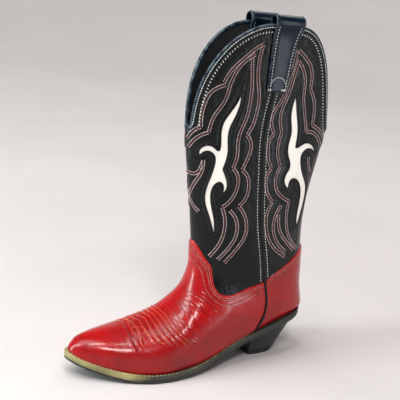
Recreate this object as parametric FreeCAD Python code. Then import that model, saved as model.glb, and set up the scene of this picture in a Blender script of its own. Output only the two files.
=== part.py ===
import FreeCAD, Part
import math
import os

# Left western boot, millimetres.  +Z up, toe towards -Y, outer side of the foot towards +X.
# Origin: centre of the heel's ground face.
# "f" below is the distance forward from the back of the heel seat, "z" the height above ground.

V = FreeCAD.Vector

# ------------------------------------------------------------------ driving dimensions
HEEL_MID = 48.0          # back of the heel seat to the centre of the ground face
OUTSOLE = 4.5            # sole leather
WELT = 3.0               # welt and heel rand
FILLER = 2.0             # cork and leather filler on the outsole
INSOLE = 2.5             # insole board
SOCK = 1.0               # sock lining
HEEL_PAD = 2.5           # soft pad under the heel
LINING = 1.0             # lining leather
BACKING = 1.3            # shaft leather, toe box, counter stiffener, interlining
COVER = 1.4              # vamp and counter leather
INLAY = 0.9              # inlay leather, set below the face of the shaft leather
PIPING_PROUD = 0.9       # piping above the leather beside it
PIPING_HALF = 1.3        # half of the piping width
UNDERLAP = 8.0           # shaft leather that runs under the vamp and the counter
BINDING = 0.8            # leather strip folded over the top edge
BINDING_DEEP = 3.0       # how far the strip reaches down each face
BINDING_RISE = 1.2       # how far it stands over the edge
STRAP = 2.0              # pull strap leather, doubled
LOOP_TOP = 365.5         # top of the pull strap loop
LOOP_HALF = 6.0          # half of the loop's width across the shaft edge
LOOP_MID = 22.2          # middle of the loop from the middle plane
LOOP_WIDEST = 357.5      # height of the widest place of the loop
LIFT = 6.0               # one heel lift
NAIL_R = 1.25
PEG_R = 1.1
SHANK_WIDE = 12.0
SHANK_THICK = 1.2
STITCH_R = 0.55
STITCH_LONG = 3.0
STITCH_PITCH = 4.4

SHAFT_FACE = LINING + BACKING
FOOT_FACE = SHAFT_FACE + COVER

# Cross-sections of the lining's inner face, from the toe to the top of the shaft.
# Each plane stands square to the middle plane and turns from upright to level round the instep.
# front or top point f, z; back or bottom point f, z; height of the widest line above the
# bottom point; half widths outer and inner side; roundness of the lower and of the upper half.
SECTIONS = [
    (267.2, 27.3, 267.2, 25.7, 0.8, 0.9, 0.9, 2.0, 2.0),
    (266.3, 29.4, 266.3, 20.5, 5.0, 3.8, 3.8, 2.2, 2.1),
    (264.0, 31.9, 264.0, 15.6, 9.5, 7.2, 7.2, 2.7, 2.2),
    (259.5, 34.0, 259.5, 12.8, 14.0, 11.3, 11.3, 3.4, 2.2),
    (251.0, 35.8, 251.0, 9.5, 16.0, 16.5, 16.5, 3.8, 2.2),
    (237.0, 37.0, 237.0, 5.2, 19.0, 23.5, 23.5, 4.0, 2.2),
    (213.5, 39.0, 213.5, 1.0, 21.0, 33.5, 33.5, 4.0, 2.2),
    (188.0, 44.5, 188.0, -0.8, 23.0, 41.0, 39.0, 4.0, 2.1),
    (168.0, 53.5, 168.0, -0.3, 26.0, 41.0, 37.0, 4.0, 2.0),
    (155.5, 65.0, 133.7, 4.5, 33.0, 38.5, 32.5, 3.8, 2.0),
    (146.8, 76.5, 99.5, 16.0, 40.0, 35.0, 29.0, 3.5, 2.0),
    (142.4, 87.5, 66.6, 26.3, 46.0, 32.0, 28.0, 3.2, 2.1),
    (140.2, 97.5, 33.3, 36.6, 50.0, 29.5, 27.0, 2.9, 2.2),
    (139.6, 105.0, 4.6, 48.0, 52.0, 28.0, 26.0, 2.5, 2.2),
    (140.0, 111.5, 5.2, 72.0, 54.0, 28.0, 26.0, 2.3, 2.2),
    (140.8, 121.0, 8.2, 99.0, 58.0, 29.0, 27.0, 2.2, 2.1),
    (142.5, 135.0, 11.2, 138.0, 62.0, 29.0, 27.5, 2.1, 2.0),
    (148.4, 171.0, 8.8, 176.0, 68.0, 25.0, 25.0, 2.0, 2.0),
    (155.6, 208.0, 1.8, 214.0, 75.0, 22.0, 22.0, 2.0, 2.0),
    (162.4, 249.0, -6.2, 255.0, 82.0, 19.5, 19.5, 2.0, 2.0),
    (166.4, 290.0, -11.2, 296.0, 86.0, 19.5, 19.5, 2.0, 2.0),
    (168.5, 330.0, -14.4, 336.0, 89.0, 20.5, 20.5, 2.0, 2.0),
    (169.5, 368.0, -16.4, 374.0, 90.0, 22.0, 22.0, 2.0, 2.0),
]

# Underside of the outsole seen from the side: f, z.
SOLE_PROFILE = [
    (-12.0, 48.5), (0.0, 45.0), (30.0, 37.0), (50.0, 31.0), (70.0, 25.3), (85.0, 20.6),
    (100.0, 15.4), (120.0, 8.6), (140.0, 3.2), (160.0, 0.7), (180.0, 0.0), (195.0, 0.1),
    (218.0, 1.9), (240.0, 6.2), (259.0, 12.2), (275.0, 18.6), (290.0, 25.5),
]

# Outline of the outsole seen from above, outer side from heel to toe, then inner side back: f, x.
SOLE_OUTLINE = [
    (-1.6, 0.0), (2.8, 14.0), (14.0, 26.0), (35.0, 32.0), (70.0, 33.2), (110.0, 38.0),
    (147.0, 46.0), (178.0, 49.0), (200.0, 46.5), (220.0, 39.5), (243.0, 28.0), (259.0, 18.5),
    (269.5, 10.5), (275.0, 0.0), (269.5, -10.5), (259.0, -18.5), (243.0, -28.0),
    (220.0, -38.5), (198.0, -44.5), (175.0, -44.5), (145.0, -38.5), (110.0, -31.5),
    (70.0, -30.8), (35.0, -30.8), (14.0, -25.5), (2.8, -14.0),
]

# Side view lines: f, z.
SEAM = [
    (73.0, 400.0), (75.0, 360.0), (77.5, 326.0), (80.5, 292.0), (85.5, 250.0), (84.0, 205.0),
    (81.0, 160.0), (77.5, 134.0), (71.0, 107.0), (67.0, 89.0), (62.8, 71.0), (62.5, 55.0),
    (66.5, 43.0), (72.0, 32.0), (78.0, 10.0),
]
VAMP_EDGE = [
    (162.0, 146.0), (150.0, 136.5), (143.5, 129.0), (136.0, 116.5), (128.5, 106.0),
    (126.5, 95.5), (124.5, 85.5), (118.0, 79.5), (107.5, 78.2), (96.0, 80.5), (83.0, 84.3),
    (67.0, 89.0),
]
COUNTER_EDGE = [(67.0, 89.0), (60.5, 94.5), (44.8, 104.0), (22.0, 115.5), (2.0, 122.5), (-30.0, 128.0)]
TOP_LINE = [
    (172.0, 248.5), (166.0, 249.3), (163.6, 251.2), (162.7, 257.0), (162.6, 267.0), (161.0, 283.0),
    (155.6, 303.0), (148.3, 317.5), (139.2, 330.0), (128.3, 340.5), (116.0, 348.0),
    (103.6, 353.0), (90.0, 354.8), (75.0, 354.0), (58.0, 354.8), (43.5, 351.5),
    (33.0, 344.1), (24.4, 333.5), (16.8, 319.5), (9.6, 297.7), (3.4, 275.0), (-1.0, 259.0),
    (-5.5, 250.5), (-12.0, 246.5),
]

# Outlines of the two flame inlays of one side, seen from the side: f, z.
# Each run of points is one smooth line; the runs meet in the sharp tips and notches.
FRONT_FLAME = [
    [(118.0, 285.5), (117.5, 280.0), (118.8, 272.0), (121.5, 263.5), (124.5, 256.5),
     (126.5, 248.5), (126.3, 239.0), (125.3, 229.5), (126.3, 221.0), (129.0, 211.0)],
    [(129.0, 211.0), (125.0, 203.0), (122.7, 194.5), (123.3, 190.5), (126.0, 187.0)],
    [(126.0, 187.0), (125.6, 192.5), (127.5, 196.8), (130.8, 198.3), (134.5, 196.3),
     (137.2, 191.5), (138.0, 183.5), (136.0, 172.5), (133.5, 163.5), (131.5, 155.0),
     (130.5, 144.5)],
    [(130.5, 144.5), (133.5, 153.5), (136.8, 163.0), (140.2, 171.5), (142.2, 180.0),
     (142.3, 188.0), (141.0, 196.0), (139.2, 203.5), (137.5, 212.0), (136.7, 219.0),
     (137.7, 224.2), (141.0, 227.7), (145.5, 229.2), (149.5, 227.7), (152.5, 224.0)],
    [(152.5, 224.0), (152.7, 228.7), (150.3, 232.4), (145.5, 234.3), (141.0, 233.4),
     (137.3, 230.4), (133.8, 228.3)],
    [(133.8, 228.3), (132.9, 233.0), (133.3, 241.0), (133.8, 250.0), (132.5, 257.5),
     (129.0, 264.3), (124.5, 271.3), (120.5, 278.3), (118.0, 285.5)],
]
BACK_FLAME = [
    [(52.8, 286.0), (50.8, 279.5), (48.8, 272.0), (46.2, 262.5), (43.8, 253.0),
     (43.2, 243.0), (43.8, 236.5), (43.8, 232.0)],
    [(43.8, 232.0), (40.3, 232.9), (34.7, 235.6), (27.5, 237.0), (20.5, 235.0),
     (15.5, 231.0), (12.5, 226.0)],
    [(12.5, 226.0), (18.5, 230.2), (25.0, 231.2), (30.5, 229.2), (33.9, 224.7),
     (34.1, 218.0), (31.2, 208.5), (26.2, 200.0), (20.9, 192.0), (18.3, 184.0),
     (18.5, 175.5), (21.0, 166.0), (24.6, 157.0), (29.0, 146.5)],
    [(29.0, 146.5), (30.6, 155.0), (29.6, 164.5), (28.1, 173.0), (27.6, 180.5),
     (29.0, 188.0), (32.0, 194.2), (36.7, 198.7), (42.0, 200.3), (46.0, 199.0),
     (48.0, 195.0), (48.6, 189.7)],
    [(48.6, 189.7), (52.6, 193.5), (54.8, 199.0), (53.3, 204.8), (49.3, 210.5)],
    [(49.3, 210.5), (49.2, 216.5), (52.0, 223.0), (54.1, 230.5), (53.7, 238.5),
     (52.1, 246.0), (52.3, 253.5), (54.6, 263.0), (55.1, 273.0), (54.2, 280.0),
     (52.8, 286.0)],
]

# Pull strap seen from the side: f, z.
STRAP_OUTLINE = [
    (92.8, 380.0), (92.3, 356.0), (90.3, 291.0), (66.8, 291.0), (63.0, 331.0), (57.3, 356.0),
    (56.5, 380.0),
]
STRAP_FOOT = 350.0       # height where the loop takes over from the two legs

# Ground and rise of the heel: height, f of its back, half width at the breast, at the middle.
HEEL_SHAPE = [
    (0.0, 27.0, 21.5, 22.5),
    (12.0, 18.5, 22.8, 24.0),
    (24.0, 11.0, 25.0, 26.2),
    (36.0, 4.5, 27.6, 28.6),
    (52.0, -1.0, 31.0, 31.5),
]
HEEL_BREAST = 70.0
WAIST_START = 74.0       # front end of the rand, back end of the welt
SEAT_END = 112.0         # front end of the leather filler


# ------------------------------------------------------------------ curves and surfaces
def spline_slopes(xs, ys):
    """Second derivatives of the natural cubic spline through the points."""
    n = len(xs)
    upper = [0.0] * n
    second = [0.0] * n
    for i in range(1, n - 1):
        left = xs[i] - xs[i - 1]
        right = xs[i + 1] - xs[i]
        pivot = 2.0 * (left + right) - left * upper[i - 1]
        upper[i] = right / pivot
        rise = (ys[i + 1] - ys[i]) / right - (ys[i] - ys[i - 1]) / left
        second[i] = (6.0 * rise - left * second[i - 1]) / pivot
    for i in range(n - 2, 0, -1):
        second[i] -= upper[i] * second[i + 1]
    return second


def spline_value(xs, ys, second, x):
    i = 0
    while i < len(xs) - 2 and x > xs[i + 1]:
        i += 1
    gap = xs[i + 1] - xs[i]
    b = (x - xs[i]) / gap
    a = 1.0 - b
    bend = (a ** 3 - a) * second[i] + (b ** 3 - b) * second[i + 1]
    return a * ys[i] + b * ys[i + 1] + bend * gap * gap / 6.0


STEPS = [float(i) for i in range(len(SECTIONS))]
COLUMNS = [[row[k] for row in SECTIONS] for k in range(9)]
COLUMN_BENDS = [spline_slopes(STEPS, column) for column in COLUMNS]
SOLE_F = [p[0] for p in SOLE_PROFILE]
SOLE_Z = [p[1] for p in SOLE_PROFILE]
SOLE_BENDS = spline_slopes(SOLE_F, SOLE_Z)


def sole_height(f):
    """Height of the outsole's underside."""
    return spline_value(SOLE_F, SOLE_Z, SOLE_BENDS, f)


def power(value, exponent):
    return math.copysign(abs(value) ** exponent, value)


def station(s):
    return [spline_value(STEPS, COLUMNS[k], COLUMN_BENDS[k], s) for k in range(9)]


def on_section(row, angle):
    """Point of one cross-section; angle 0 at the front, 90 degrees at the outer side."""
    top_f, top_z, low_f, low_z, rise, outer, inner, low_round, top_round = row
    across = top_f - low_f
    along = top_z - low_z
    length = math.hypot(across, along)
    across /= length
    along /= length
    c = math.cos(angle)
    s = math.sin(angle)
    roundness = low_round
    reach = rise
    if c >= 0.0:
        roundness = top_round
        reach = length - rise
    distance = rise + power(c, 2.0 / roundness) * reach
    half = outer
    if s < 0.0:
        half = inner
    x = power(s, 2.0 / roundness) * half
    return V(x, HEEL_MID - (low_f + across * distance), low_z + along * distance)


def skin_point(s, angle, off):
    """Point at the distance off outside the lining's inner face."""
    small = 0.001
    last = len(SECTIONS) - 1.0
    here = on_section(station(s), angle)
    turn = on_section(station(s), angle + small) - on_section(station(s), angle - small)
    climb = on_section(station(min(s + small, last)), angle) - on_section(station(max(s - small, 0.0)), angle)
    normal = turn.cross(climb)
    normal.normalize()
    return here + normal * off


def girth_angles():
    """Angles of the points round a section, closer together where the lower half is squarer."""
    lower = [1.5, 5.0, 10.0, 16.0, 23.0, 31.0, 39.0, 47.0, 56.0, 65.0, 74.0, 83.0, 90.0]
    upper = [7.5 * k for k in range(13)]
    half = upper + [90.0 + a for a in lower]
    turn = [-a for a in reversed(half[:-1])] + half[1:]
    seam = turn.index(-(90.0 + lower[5]))
    turn = turn[seam:] + [360.0 + a for a in turn[:seam + 1]]
    return [math.radians(a) for a in turn]


def closed_tube(sheet):
    """Solid from a surface that is closed on itself, in four strips with flat ends."""
    first, last, start, end = sheet.bounds()
    strips = []
    rims = [[], []]
    for k in range(4):
        strip = sheet.copy()
        strip.segment(first, last, start + (end - start) * k / 4.0, start + (end - start) * (k + 1) / 4.0)
        strips.append(strip.toShape())
        rims[0].append(strip.uIso(first).toShape())
        rims[1].append(strip.uIso(last).toShape())
    ends = [Part.Face(Part.Wire(rim)) for rim in rims]
    shell = Part.makeShell(strips + ends)
    shell.sewShape()
    body = Part.Solid(Part.Shell(shell.Faces))
    if body.Volume < 0:
        body.reverse()
    return body


def skin(off):
    """Closed solid whose surface lies at the distance off outside the lining's inner face."""
    angles = girth_angles()
    rows = []
    for s in STEPS:
        ring = [skin_point(s, a, off) for a in angles]
        ring[-1] = ring[0]
        rows.append(ring)
    flat = sum(p.z for p in rows[-1]) / len(rows[-1])
    rows[-1] = [V(p.x, p.y, flat) for p in rows[-1]]
    nose = sum(p.y for p in rows[0]) / len(rows[0])
    rows[0] = [V(p.x, nose, p.z) for p in rows[0]]
    sheet = Part.BSplineSurface()
    sheet.interpolate(rows)
    return closed_tube(sheet)


def side_point(f, z):
    return V(0.0, HEEL_MID - f, z)


def side_curve(points):
    """Smooth edge in the middle plane through (f, z) points."""
    curve = Part.BSplineCurve()
    curve.interpolate([side_point(f, z) for f, z in points])
    return curve.toShape()


def side_lines(points):
    return [Part.makeLine(side_point(*a), side_point(*b)) for a, b in zip(points[:-1], points[1:])]


def side_region(edges, x_from=-80.0, x_to=80.0):
    """Side view outline drawn out across the boot."""
    wire = Part.Wire(Part.__sortEdges__(edges))
    face = Part.Face(wire)
    face.translate(V(x_from, 0, 0))
    return face.extrude(V(x_to - x_from, 0, 0))


def moved(points, f_by, z_by):
    return [(f + f_by, z + z_by) for f, z in points]


def sole_line(rise, f_from=-12.0, f_to=290.0):
    count = 34
    step = (f_to - f_from) / count
    return [(f_from + step * i, sole_height(f_from + step * i) + rise) for i in range(count + 1)]


def sole_layer(low, high, f_from=-12.0, f_to=290.0, x_from=-80.0, x_to=80.0):
    """Slab that follows the underside of the sole between two rises."""
    under = sole_line(low, f_from, f_to)
    over = sole_line(high, f_from, f_to)
    ends = side_lines([under[0], over[0]]) + side_lines([under[-1], over[-1]])
    return side_region([side_curve(under), side_curve(over)] + ends, x_from, x_to)


def above_sole(rise, ceiling):
    """Everything over the sole line up to a level."""
    under = sole_line(rise)
    box = [under[-1], (under[-1][0], ceiling), (under[0][0], ceiling), under[0]]
    return side_region([side_curve(under)] + side_lines(box))


def below_sole():
    under = sole_line(0.0)
    box = [under[-1], (under[-1][0], -30.0), (under[0][0], -30.0), under[0]]
    return side_region([side_curve(under)] + side_lines(box))


def save(name, shape):
    solids = shape.Solids
    if len(solids) == 1:
        shape = solids[0]
    else:
        shape = Part.makeCompound(solids)
    print(name, len(solids), round(shape.Volume), shape.isValid())
    shape.exportStep("parts/" + name + ".step")
    return shape


# ------------------------------------------------------------------ regions in side view
def under_top_line():
    """The upper: over the outsole, under the scalloped top line."""
    under = sole_line(OUTSOLE)
    front = [under[-1], (under[-1][0], TOP_LINE[0][1]), TOP_LINE[0]]
    back = [TOP_LINE[-1], (-40.0, TOP_LINE[-1][1]), (-40.0, under[0][1]), under[0]]
    edges = [side_curve(under), side_curve(TOP_LINE)]
    return side_region(edges + side_lines(front) + side_lines(back))


def ahead_of_seam(shift):
    line = moved(SEAM, shift, 0.0)
    box = [line[-1], (line[-1][0], -30.0), (320.0, -30.0), (320.0, 400.0), line[0]]
    return side_region([side_curve(line)] + side_lines(box))


def behind_seam(shift):
    line = moved(SEAM, -shift, 0.0)
    box = [line[-1], (line[-1][0], -30.0), (-60.0, -30.0), (-60.0, 400.0), line[0]]
    return side_region([side_curve(line)] + side_lines(box))


def under_line(points, f_front, f_back):
    """Everything below a side view line, between two limits."""
    start = points[0]
    end = points[-1]
    box = [end, (f_back, end[1]), (f_back, -30.0), (f_front, -30.0), (f_front, start[1]), start]
    return side_region([side_curve(points)] + side_lines(box))


def seam_strip():
    left = moved(SEAM, PIPING_HALF, 0.0)
    right = moved(SEAM, -PIPING_HALF, 0.0)
    ends = side_lines([left[0], right[0]]) + side_lines([left[-1], right[-1]])
    return side_region([side_curve(left), side_curve(right)] + ends)


def half_space(x_from, x_to):
    return Part.makeBox(x_to - x_from, 500.0, 500.0, V(x_from, -300.0, -50.0))


def flame(runs, x_from, x_to):
    return side_region([side_curve(run) for run in runs], x_from, x_to)


def between(zone, outer, inner):
    """The part of a zone that lies between two skins."""
    return zone.common(outer).cut(inner)


os.makedirs("parts", exist_ok=True)

inside = skin(0.0)
lining_skin = skin(LINING)
inlay_skin = skin(LINING + INLAY)
shaft_skin = skin(SHAFT_FACE)
foot_skin = skin(FOOT_FACE)
upper_piping_skin = skin(SHAFT_FACE + PIPING_PROUD)
lower_piping_skin = skin(FOOT_FACE + PIPING_PROUD)
strap_skin = skin(SHAFT_FACE + STRAP)
inner_strap_skin = skin(-STRAP)

upper_zone = under_top_line()
front_zone = ahead_of_seam(PIPING_HALF)
back_zone = behind_seam(PIPING_HALF)
front_all = ahead_of_seam(0.0)
back_all = behind_seam(0.0)
foot_front = under_line(VAMP_EDGE + [(-20.0, 112.0)], 320.0, -60.0)
foot_back = under_line([(130.0, 62.0), (90.0, 80.0)] + COUNTER_EDGE, 320.0, -60.0)
lap_front = under_line(moved(VAMP_EDGE, 3.0, -UNDERLAP) + [(-20.0, 100.0)], 320.0, -60.0)
lap_back = under_line(moved([(130.0, 62.0), (90.0, 80.0)] + COUNTER_EDGE, 0.0, -UNDERLAP), 320.0, -60.0)
print("regions ready")

# ------------------------------------------------------------------ linings
lining_layer = upper_zone.common(lining_skin.cut(inside))
front_lining = lining_layer.common(front_all)
back_lining = lining_layer.common(back_all)
save("vamp_lining", front_lining.common(lap_front))
save("front_shaft_lining", front_lining.cut(lap_front))
save("heel_lining", back_lining.common(lap_back))
save("back_shaft_lining", back_lining.cut(lap_back))

# ------------------------------------------------------------------ inlays and backing layer
def with_windows(panel, outline, name):
    """Saves the two inlays of one panel and returns the panel with their windows cut out."""
    for side, x_from, x_to in (("outer", 0.0, 80.0), ("inner", -80.0, 0.0)):
        window = flame(outline, x_from, x_to)
        save("inlay_" + name + "_" + side, between(window, inlay_skin, lining_skin))
        panel = panel.cut(window)
    return panel


backing_layer = upper_zone.common(shaft_skin.cut(lining_skin))
front_backing = backing_layer.common(front_zone)
back_backing = backing_layer.common(back_zone)
save("front_shaft_panel", with_windows(front_backing.cut(lap_front), FRONT_FLAME, "front"))
save("back_shaft_panel", with_windows(back_backing.cut(lap_back), BACK_FLAME, "back"))
toe_limit = Part.makeBox(200.0, 100.0, 200.0, V(-100.0, HEEL_MID - 310.0, -20.0))
front_foot = front_backing.common(lap_front)
save("toe_box", front_foot.common(toe_limit))
save("vamp_interlining", front_foot.cut(toe_limit))
save("heel_counter_stiffener", back_backing.common(lap_back))

# ------------------------------------------------------------------ cover layer
cover_layer = upper_zone.common(foot_skin.cut(shaft_skin))
save("vamp", cover_layer.common(front_zone).common(foot_front))
save("heel_counter_cover", cover_layer.common(back_zone).common(foot_back))

# ------------------------------------------------------------------ piping in the side seams
strip = seam_strip().common(upper_zone)
high_strip = strip.common(upper_piping_skin).cut(lining_skin)
low_limit = Part.makeBox(200.0, 500.0, 91.0 + 50.0, V(-100.0, -300.0, -50.0))
low_strip = strip.common(lower_piping_skin).common(low_limit).cut(lining_skin)
piping = high_strip.fuse(low_strip)
piping_outer = piping.common(half_space(0.0, 90.0))
piping_inner = piping.common(half_space(-90.0, 0.0))
save("side_piping_outer", piping_outer)
save("side_piping_inner", piping_inner)
print("upper ready")

# ------------------------------------------------------------------ strip folded over the top edge
def beside_top_line(shift):
    """The top line moved square to itself; a positive shift goes up and out of the leather."""
    curve = Part.BSplineCurve()
    curve.interpolate([side_point(f, z) for f, z in TOP_LINE])
    first = curve.FirstParameter
    step = (curve.LastParameter - first) / 60.0
    points = []
    for k in range(61):
        t = first + step * k
        place = curve.value(t)
        along = curve.tangent(t)[0]
        out = V(0.0, -along.z, along.y)
        moved_place = place + out * shift
        points.append((HEEL_MID - moved_place.y, moved_place.z))
    return points


def along_top(low, high):
    """Side view strip between two lines beside the top line."""
    under = beside_top_line(low)
    over = beside_top_line(high)
    ends = side_lines([under[0], over[0]]) + side_lines([under[-1], over[-1]])
    return side_region([side_curve(under), side_curve(over)] + ends)


binding_skin = skin(SHAFT_FACE + BINDING)
inner_binding_skin = skin(-BINDING)
folded = between(along_top(-BINDING_DEEP, BINDING_RISE), binding_skin, inner_binding_skin)
gripped = between(along_top(-BINDING_DEEP - 2.0, 0.0), shaft_skin, inside)
binding = save("top_binding", folded.cut(gripped))

# ------------------------------------------------------------------ pull straps
strap_zone = side_region(side_lines(STRAP_OUTLINE + [STRAP_OUTLINE[0]]))
leg_zone = strap_zone.common(Part.makeBox(200.0, 500.0, STRAP_FOOT, V(-100.0, -300.0, 0.0)))


def loop_arch(half, top, foot_out, foot_in):
    """Closed profile of the loop's outer or inner face, seen from the front."""
    low = STRAP_FOOT - 1.0
    points = [
        V(foot_out, 0.0, low), V(LOOP_MID + half, 0.0, LOOP_WIDEST),
        V(LOOP_MID + 0.7 * half, 0.0, LOOP_WIDEST + 0.72 * (top - LOOP_WIDEST)),
        V(LOOP_MID, 0.0, top),
        V(LOOP_MID - 0.7 * half, 0.0, LOOP_WIDEST + 0.72 * (top - LOOP_WIDEST)),
        V(LOOP_MID - half, 0.0, LOOP_WIDEST), V(foot_in, 0.0, low),
    ]
    curve = Part.BSplineCurve()
    curve.interpolate(points)
    base = Part.makeLine(points[-1], points[0])
    face = Part.Face(Part.Wire([curve.toShape(), base]))
    face.translate(V(0.0, -80.0, 0.0))
    return face.extrude(V(0.0, 120.0, 0.0))


outer_leg = leg_zone.common(strap_skin).cut(shaft_skin)
inner_leg = leg_zone.common(inside).cut(inner_strap_skin)
edge_z = skin_point(21.5, math.radians(90.0), 0.0)
foot = edge_z.x - 0.1
arch = loop_arch(LOOP_HALF, LOOP_TOP, foot + SHAFT_FACE + STRAP, foot - STRAP)
arch = arch.cut(loop_arch(LOOP_HALF - STRAP, LOOP_TOP - STRAP, foot + SHAFT_FACE, foot))
edge_wall = between(strap_zone.common(upper_zone), shaft_skin, inside)
arch = arch.common(strap_zone).cut(edge_wall)
mirror_arch = arch.mirror(V(0, 0, 0), V(1, 0, 0))
for side, x_from, x_to, loop in (("outer", 0.0, 80.0, arch), ("inner", -80.0, 0.0, mirror_arch)):
    half = half_space(x_from, x_to)
    strap = outer_leg.common(half).fuse([inner_leg.common(half), loop])
    strap = strap.cut(binding)
    piping = piping_outer if side == "outer" else piping_inner
    strap = strap.cut(piping)
    save("pull_strap_" + side, strap.removeSplitter())
print("top ready")

# ------------------------------------------------------------------ sole
outline_curve = Part.BSplineCurve()
outline_curve.interpolate([V(x, HEEL_MID - f, 0.0) for f, x in SOLE_OUTLINE], True)
outline_face = Part.Face(Part.Wire([outline_curve.toShape()]))
outline_face.translate(V(0.0, 0.0, -10.0))
outline_block = outline_face.extrude(V(0.0, 0.0, 80.0))

level_1 = OUTSOLE
level_2 = level_1 + FILLER
level_3 = level_2 + INSOLE
level_4 = level_3 + SOCK
level_5 = level_4 + HEEL_PAD


def upright_pin(x, f, radius, low, high):
    return Part.makeCylinder(radius, high - low, V(x, HEEL_MID - f, low), V(0, 0, 1))


pegs = []
for k in range(6):
    f = 82.0 + 10.0 * k
    for x in (-15.0, 15.0):
        pegs.append(upright_pin(x, f, PEG_R, -5.0, 60.0))
peg_tools = Part.makeCompound(pegs)
pegs_cut = sole_layer(0.0, level_2).common(peg_tools)

nail_places = [(0.0, 36.0), (-11.0, 41.0), (11.0, 41.0), (-14.5, 52.0), (14.5, 52.0), (-13.5, 63.0), (13.5, 63.0)]
nail_tools = Part.makeCompound([upright_pin(x, f, NAIL_R, 3.0, 60.0) for x, f in nail_places])
under_insole = under_line(sole_line(level_2), -13.0, 291.0)
nails_cut = under_insole.common(nail_tools)
save("shank_pegs", pegs_cut)
save("heel_nails", nails_cut)

outsole = sole_layer(0.0, level_1).common(outline_block)
outsole = outsole.cut(peg_tools).cut(nail_tools)
save("outsole", outsole)

edge_ring = sole_layer(level_1, level_1 + WELT).common(outline_block).cut(foot_skin)
front_part = Part.makeBox(200.0, 260.0, 120.0, V(-100.0, HEEL_MID - WAIST_START - 260.0, -20.0))
welt = edge_ring.common(front_part)
rand = edge_ring.cut(front_part)
piping_all = Part.makeCompound([piping_outer, piping_inner])
save("welt", welt.cut(piping_all))
save("heel_rand", rand.cut(piping_all))

shank = sole_layer(level_1 + 0.4, level_1 + 0.4 + SHANK_THICK, 58.0, 158.0, -0.5 * SHANK_WIDE, 0.5 * SHANK_WIDE)
save("steel_shank", shank)
filler = sole_layer(level_1, level_2).common(inside).cut(shank).cut(peg_tools).cut(nail_tools)
toe_part = Part.makeBox(200.0, 260.0, 120.0, V(-100.0, HEEL_MID - SEAT_END - 260.0, -20.0))
save("cork_filler", filler.common(toe_part))
save("waist_filler", filler.cut(toe_part))
save("insole_board", sole_layer(level_2, level_3).common(inside))
save("sock_lining", sole_layer(level_3, level_4).common(inside))
pad = sole_layer(level_4, level_5, 8.0, 70.0).common(inside)
save("heel_pad", pad)
print("sole ready")


# ------------------------------------------------------------------ heel
def heel_ring(height, back, front_half, middle_half):
    """Outline of the heel at one height: straight breast, rounded back."""
    middle = 0.5 * (back + HEEL_BREAST) + 3.0
    corner = 0.22 * (middle - back)
    points = [
        (front_half, HEEL_BREAST), (middle_half, middle), (0.86 * middle_half, middle - 2.1 * corner),
        (0.52 * middle_half, back + 0.9 * corner), (0.0, back),
        (-0.52 * middle_half, back + 0.9 * corner), (-0.86 * middle_half, middle - 2.1 * corner),
        (-middle_half, middle), (-front_half, HEEL_BREAST),
    ]
    corners = [V(x, HEEL_MID - f, height) for x, f in points]
    curve = Part.BSplineCurve()
    curve.interpolate(corners)
    return Part.Wire([curve.toShape(), Part.makeLine(corners[-1], corners[0])])


heel_body = Part.makeLoft([heel_ring(*row) for row in HEEL_SHAPE], True, False)
heel_body = heel_body.common(below_sole())
for index, name in enumerate(("heel_top_lift", "heel_lift_1", "heel_lift_2")):
    slab = Part.makeBox(200.0, 200.0, LIFT, V(-100.0, -100.0, LIFT * index))
    save(name, heel_body.common(slab).cut(nail_tools))
rest = Part.makeBox(200.0, 200.0, 60.0, V(-100.0, -100.0, 3.0 * LIFT))
save("heel_seat_wedge", heel_body.common(rest).cut(nail_tools))

# ------------------------------------------------------------------ thread on the welt
length = outline_curve.length()
count = int(length / STITCH_PITCH)
stitches = []
for k in range(count):
    t = outline_curve.parameterAtDistance(k * STITCH_PITCH, outline_curve.FirstParameter)
    p = outline_curve.value(t)
    along = outline_curve.tangent(t)[0]
    inward = V(along.y, -along.x, 0.0)
    p = p + inward * 1.7
    f = HEEL_MID - p.y
    if f < WAIST_START + 3.0:
        continue
    ahead = HEEL_MID - (p.y + along.y)
    slope = sole_height(ahead) - sole_height(f)
    direction = V(along.x, along.y, slope)
    direction.normalize()
    base = V(p.x, p.y, sole_height(f) + level_1 + WELT + STITCH_R + 0.12)
    stitches.append(Part.makeCylinder(STITCH_R, STITCH_LONG, base - direction * (0.5 * STITCH_LONG), direction))
save("welt_stitching", Part.makeCompound(stitches))
print("heel ready")
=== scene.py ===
import math

import bpy
import numpy as np
from mathutils import Matrix, Vector, kdtree


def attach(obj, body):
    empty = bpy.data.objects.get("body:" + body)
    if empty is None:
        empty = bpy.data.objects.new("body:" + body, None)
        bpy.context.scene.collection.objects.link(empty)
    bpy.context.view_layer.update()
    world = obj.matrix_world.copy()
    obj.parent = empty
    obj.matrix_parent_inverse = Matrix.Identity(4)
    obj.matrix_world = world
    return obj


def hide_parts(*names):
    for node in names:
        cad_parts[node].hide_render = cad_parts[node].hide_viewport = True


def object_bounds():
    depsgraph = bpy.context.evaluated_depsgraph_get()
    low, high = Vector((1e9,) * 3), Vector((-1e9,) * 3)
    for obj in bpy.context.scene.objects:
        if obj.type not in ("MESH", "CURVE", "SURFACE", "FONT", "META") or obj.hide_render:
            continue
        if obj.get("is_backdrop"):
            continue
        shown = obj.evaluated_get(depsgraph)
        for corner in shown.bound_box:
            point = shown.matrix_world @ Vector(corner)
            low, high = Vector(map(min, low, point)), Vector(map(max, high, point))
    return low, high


# Left western boot.  Lengths are in millimetres here and turn into metres in build_mesh().
# "f" is the distance forward from the back of the heel seat, "z" the height above ground.

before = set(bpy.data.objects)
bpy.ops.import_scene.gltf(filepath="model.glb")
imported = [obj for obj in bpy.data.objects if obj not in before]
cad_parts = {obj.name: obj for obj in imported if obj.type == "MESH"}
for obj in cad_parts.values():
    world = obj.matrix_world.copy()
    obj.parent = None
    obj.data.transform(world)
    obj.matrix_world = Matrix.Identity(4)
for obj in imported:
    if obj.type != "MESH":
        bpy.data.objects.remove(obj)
cad_low, cad_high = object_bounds()

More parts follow.
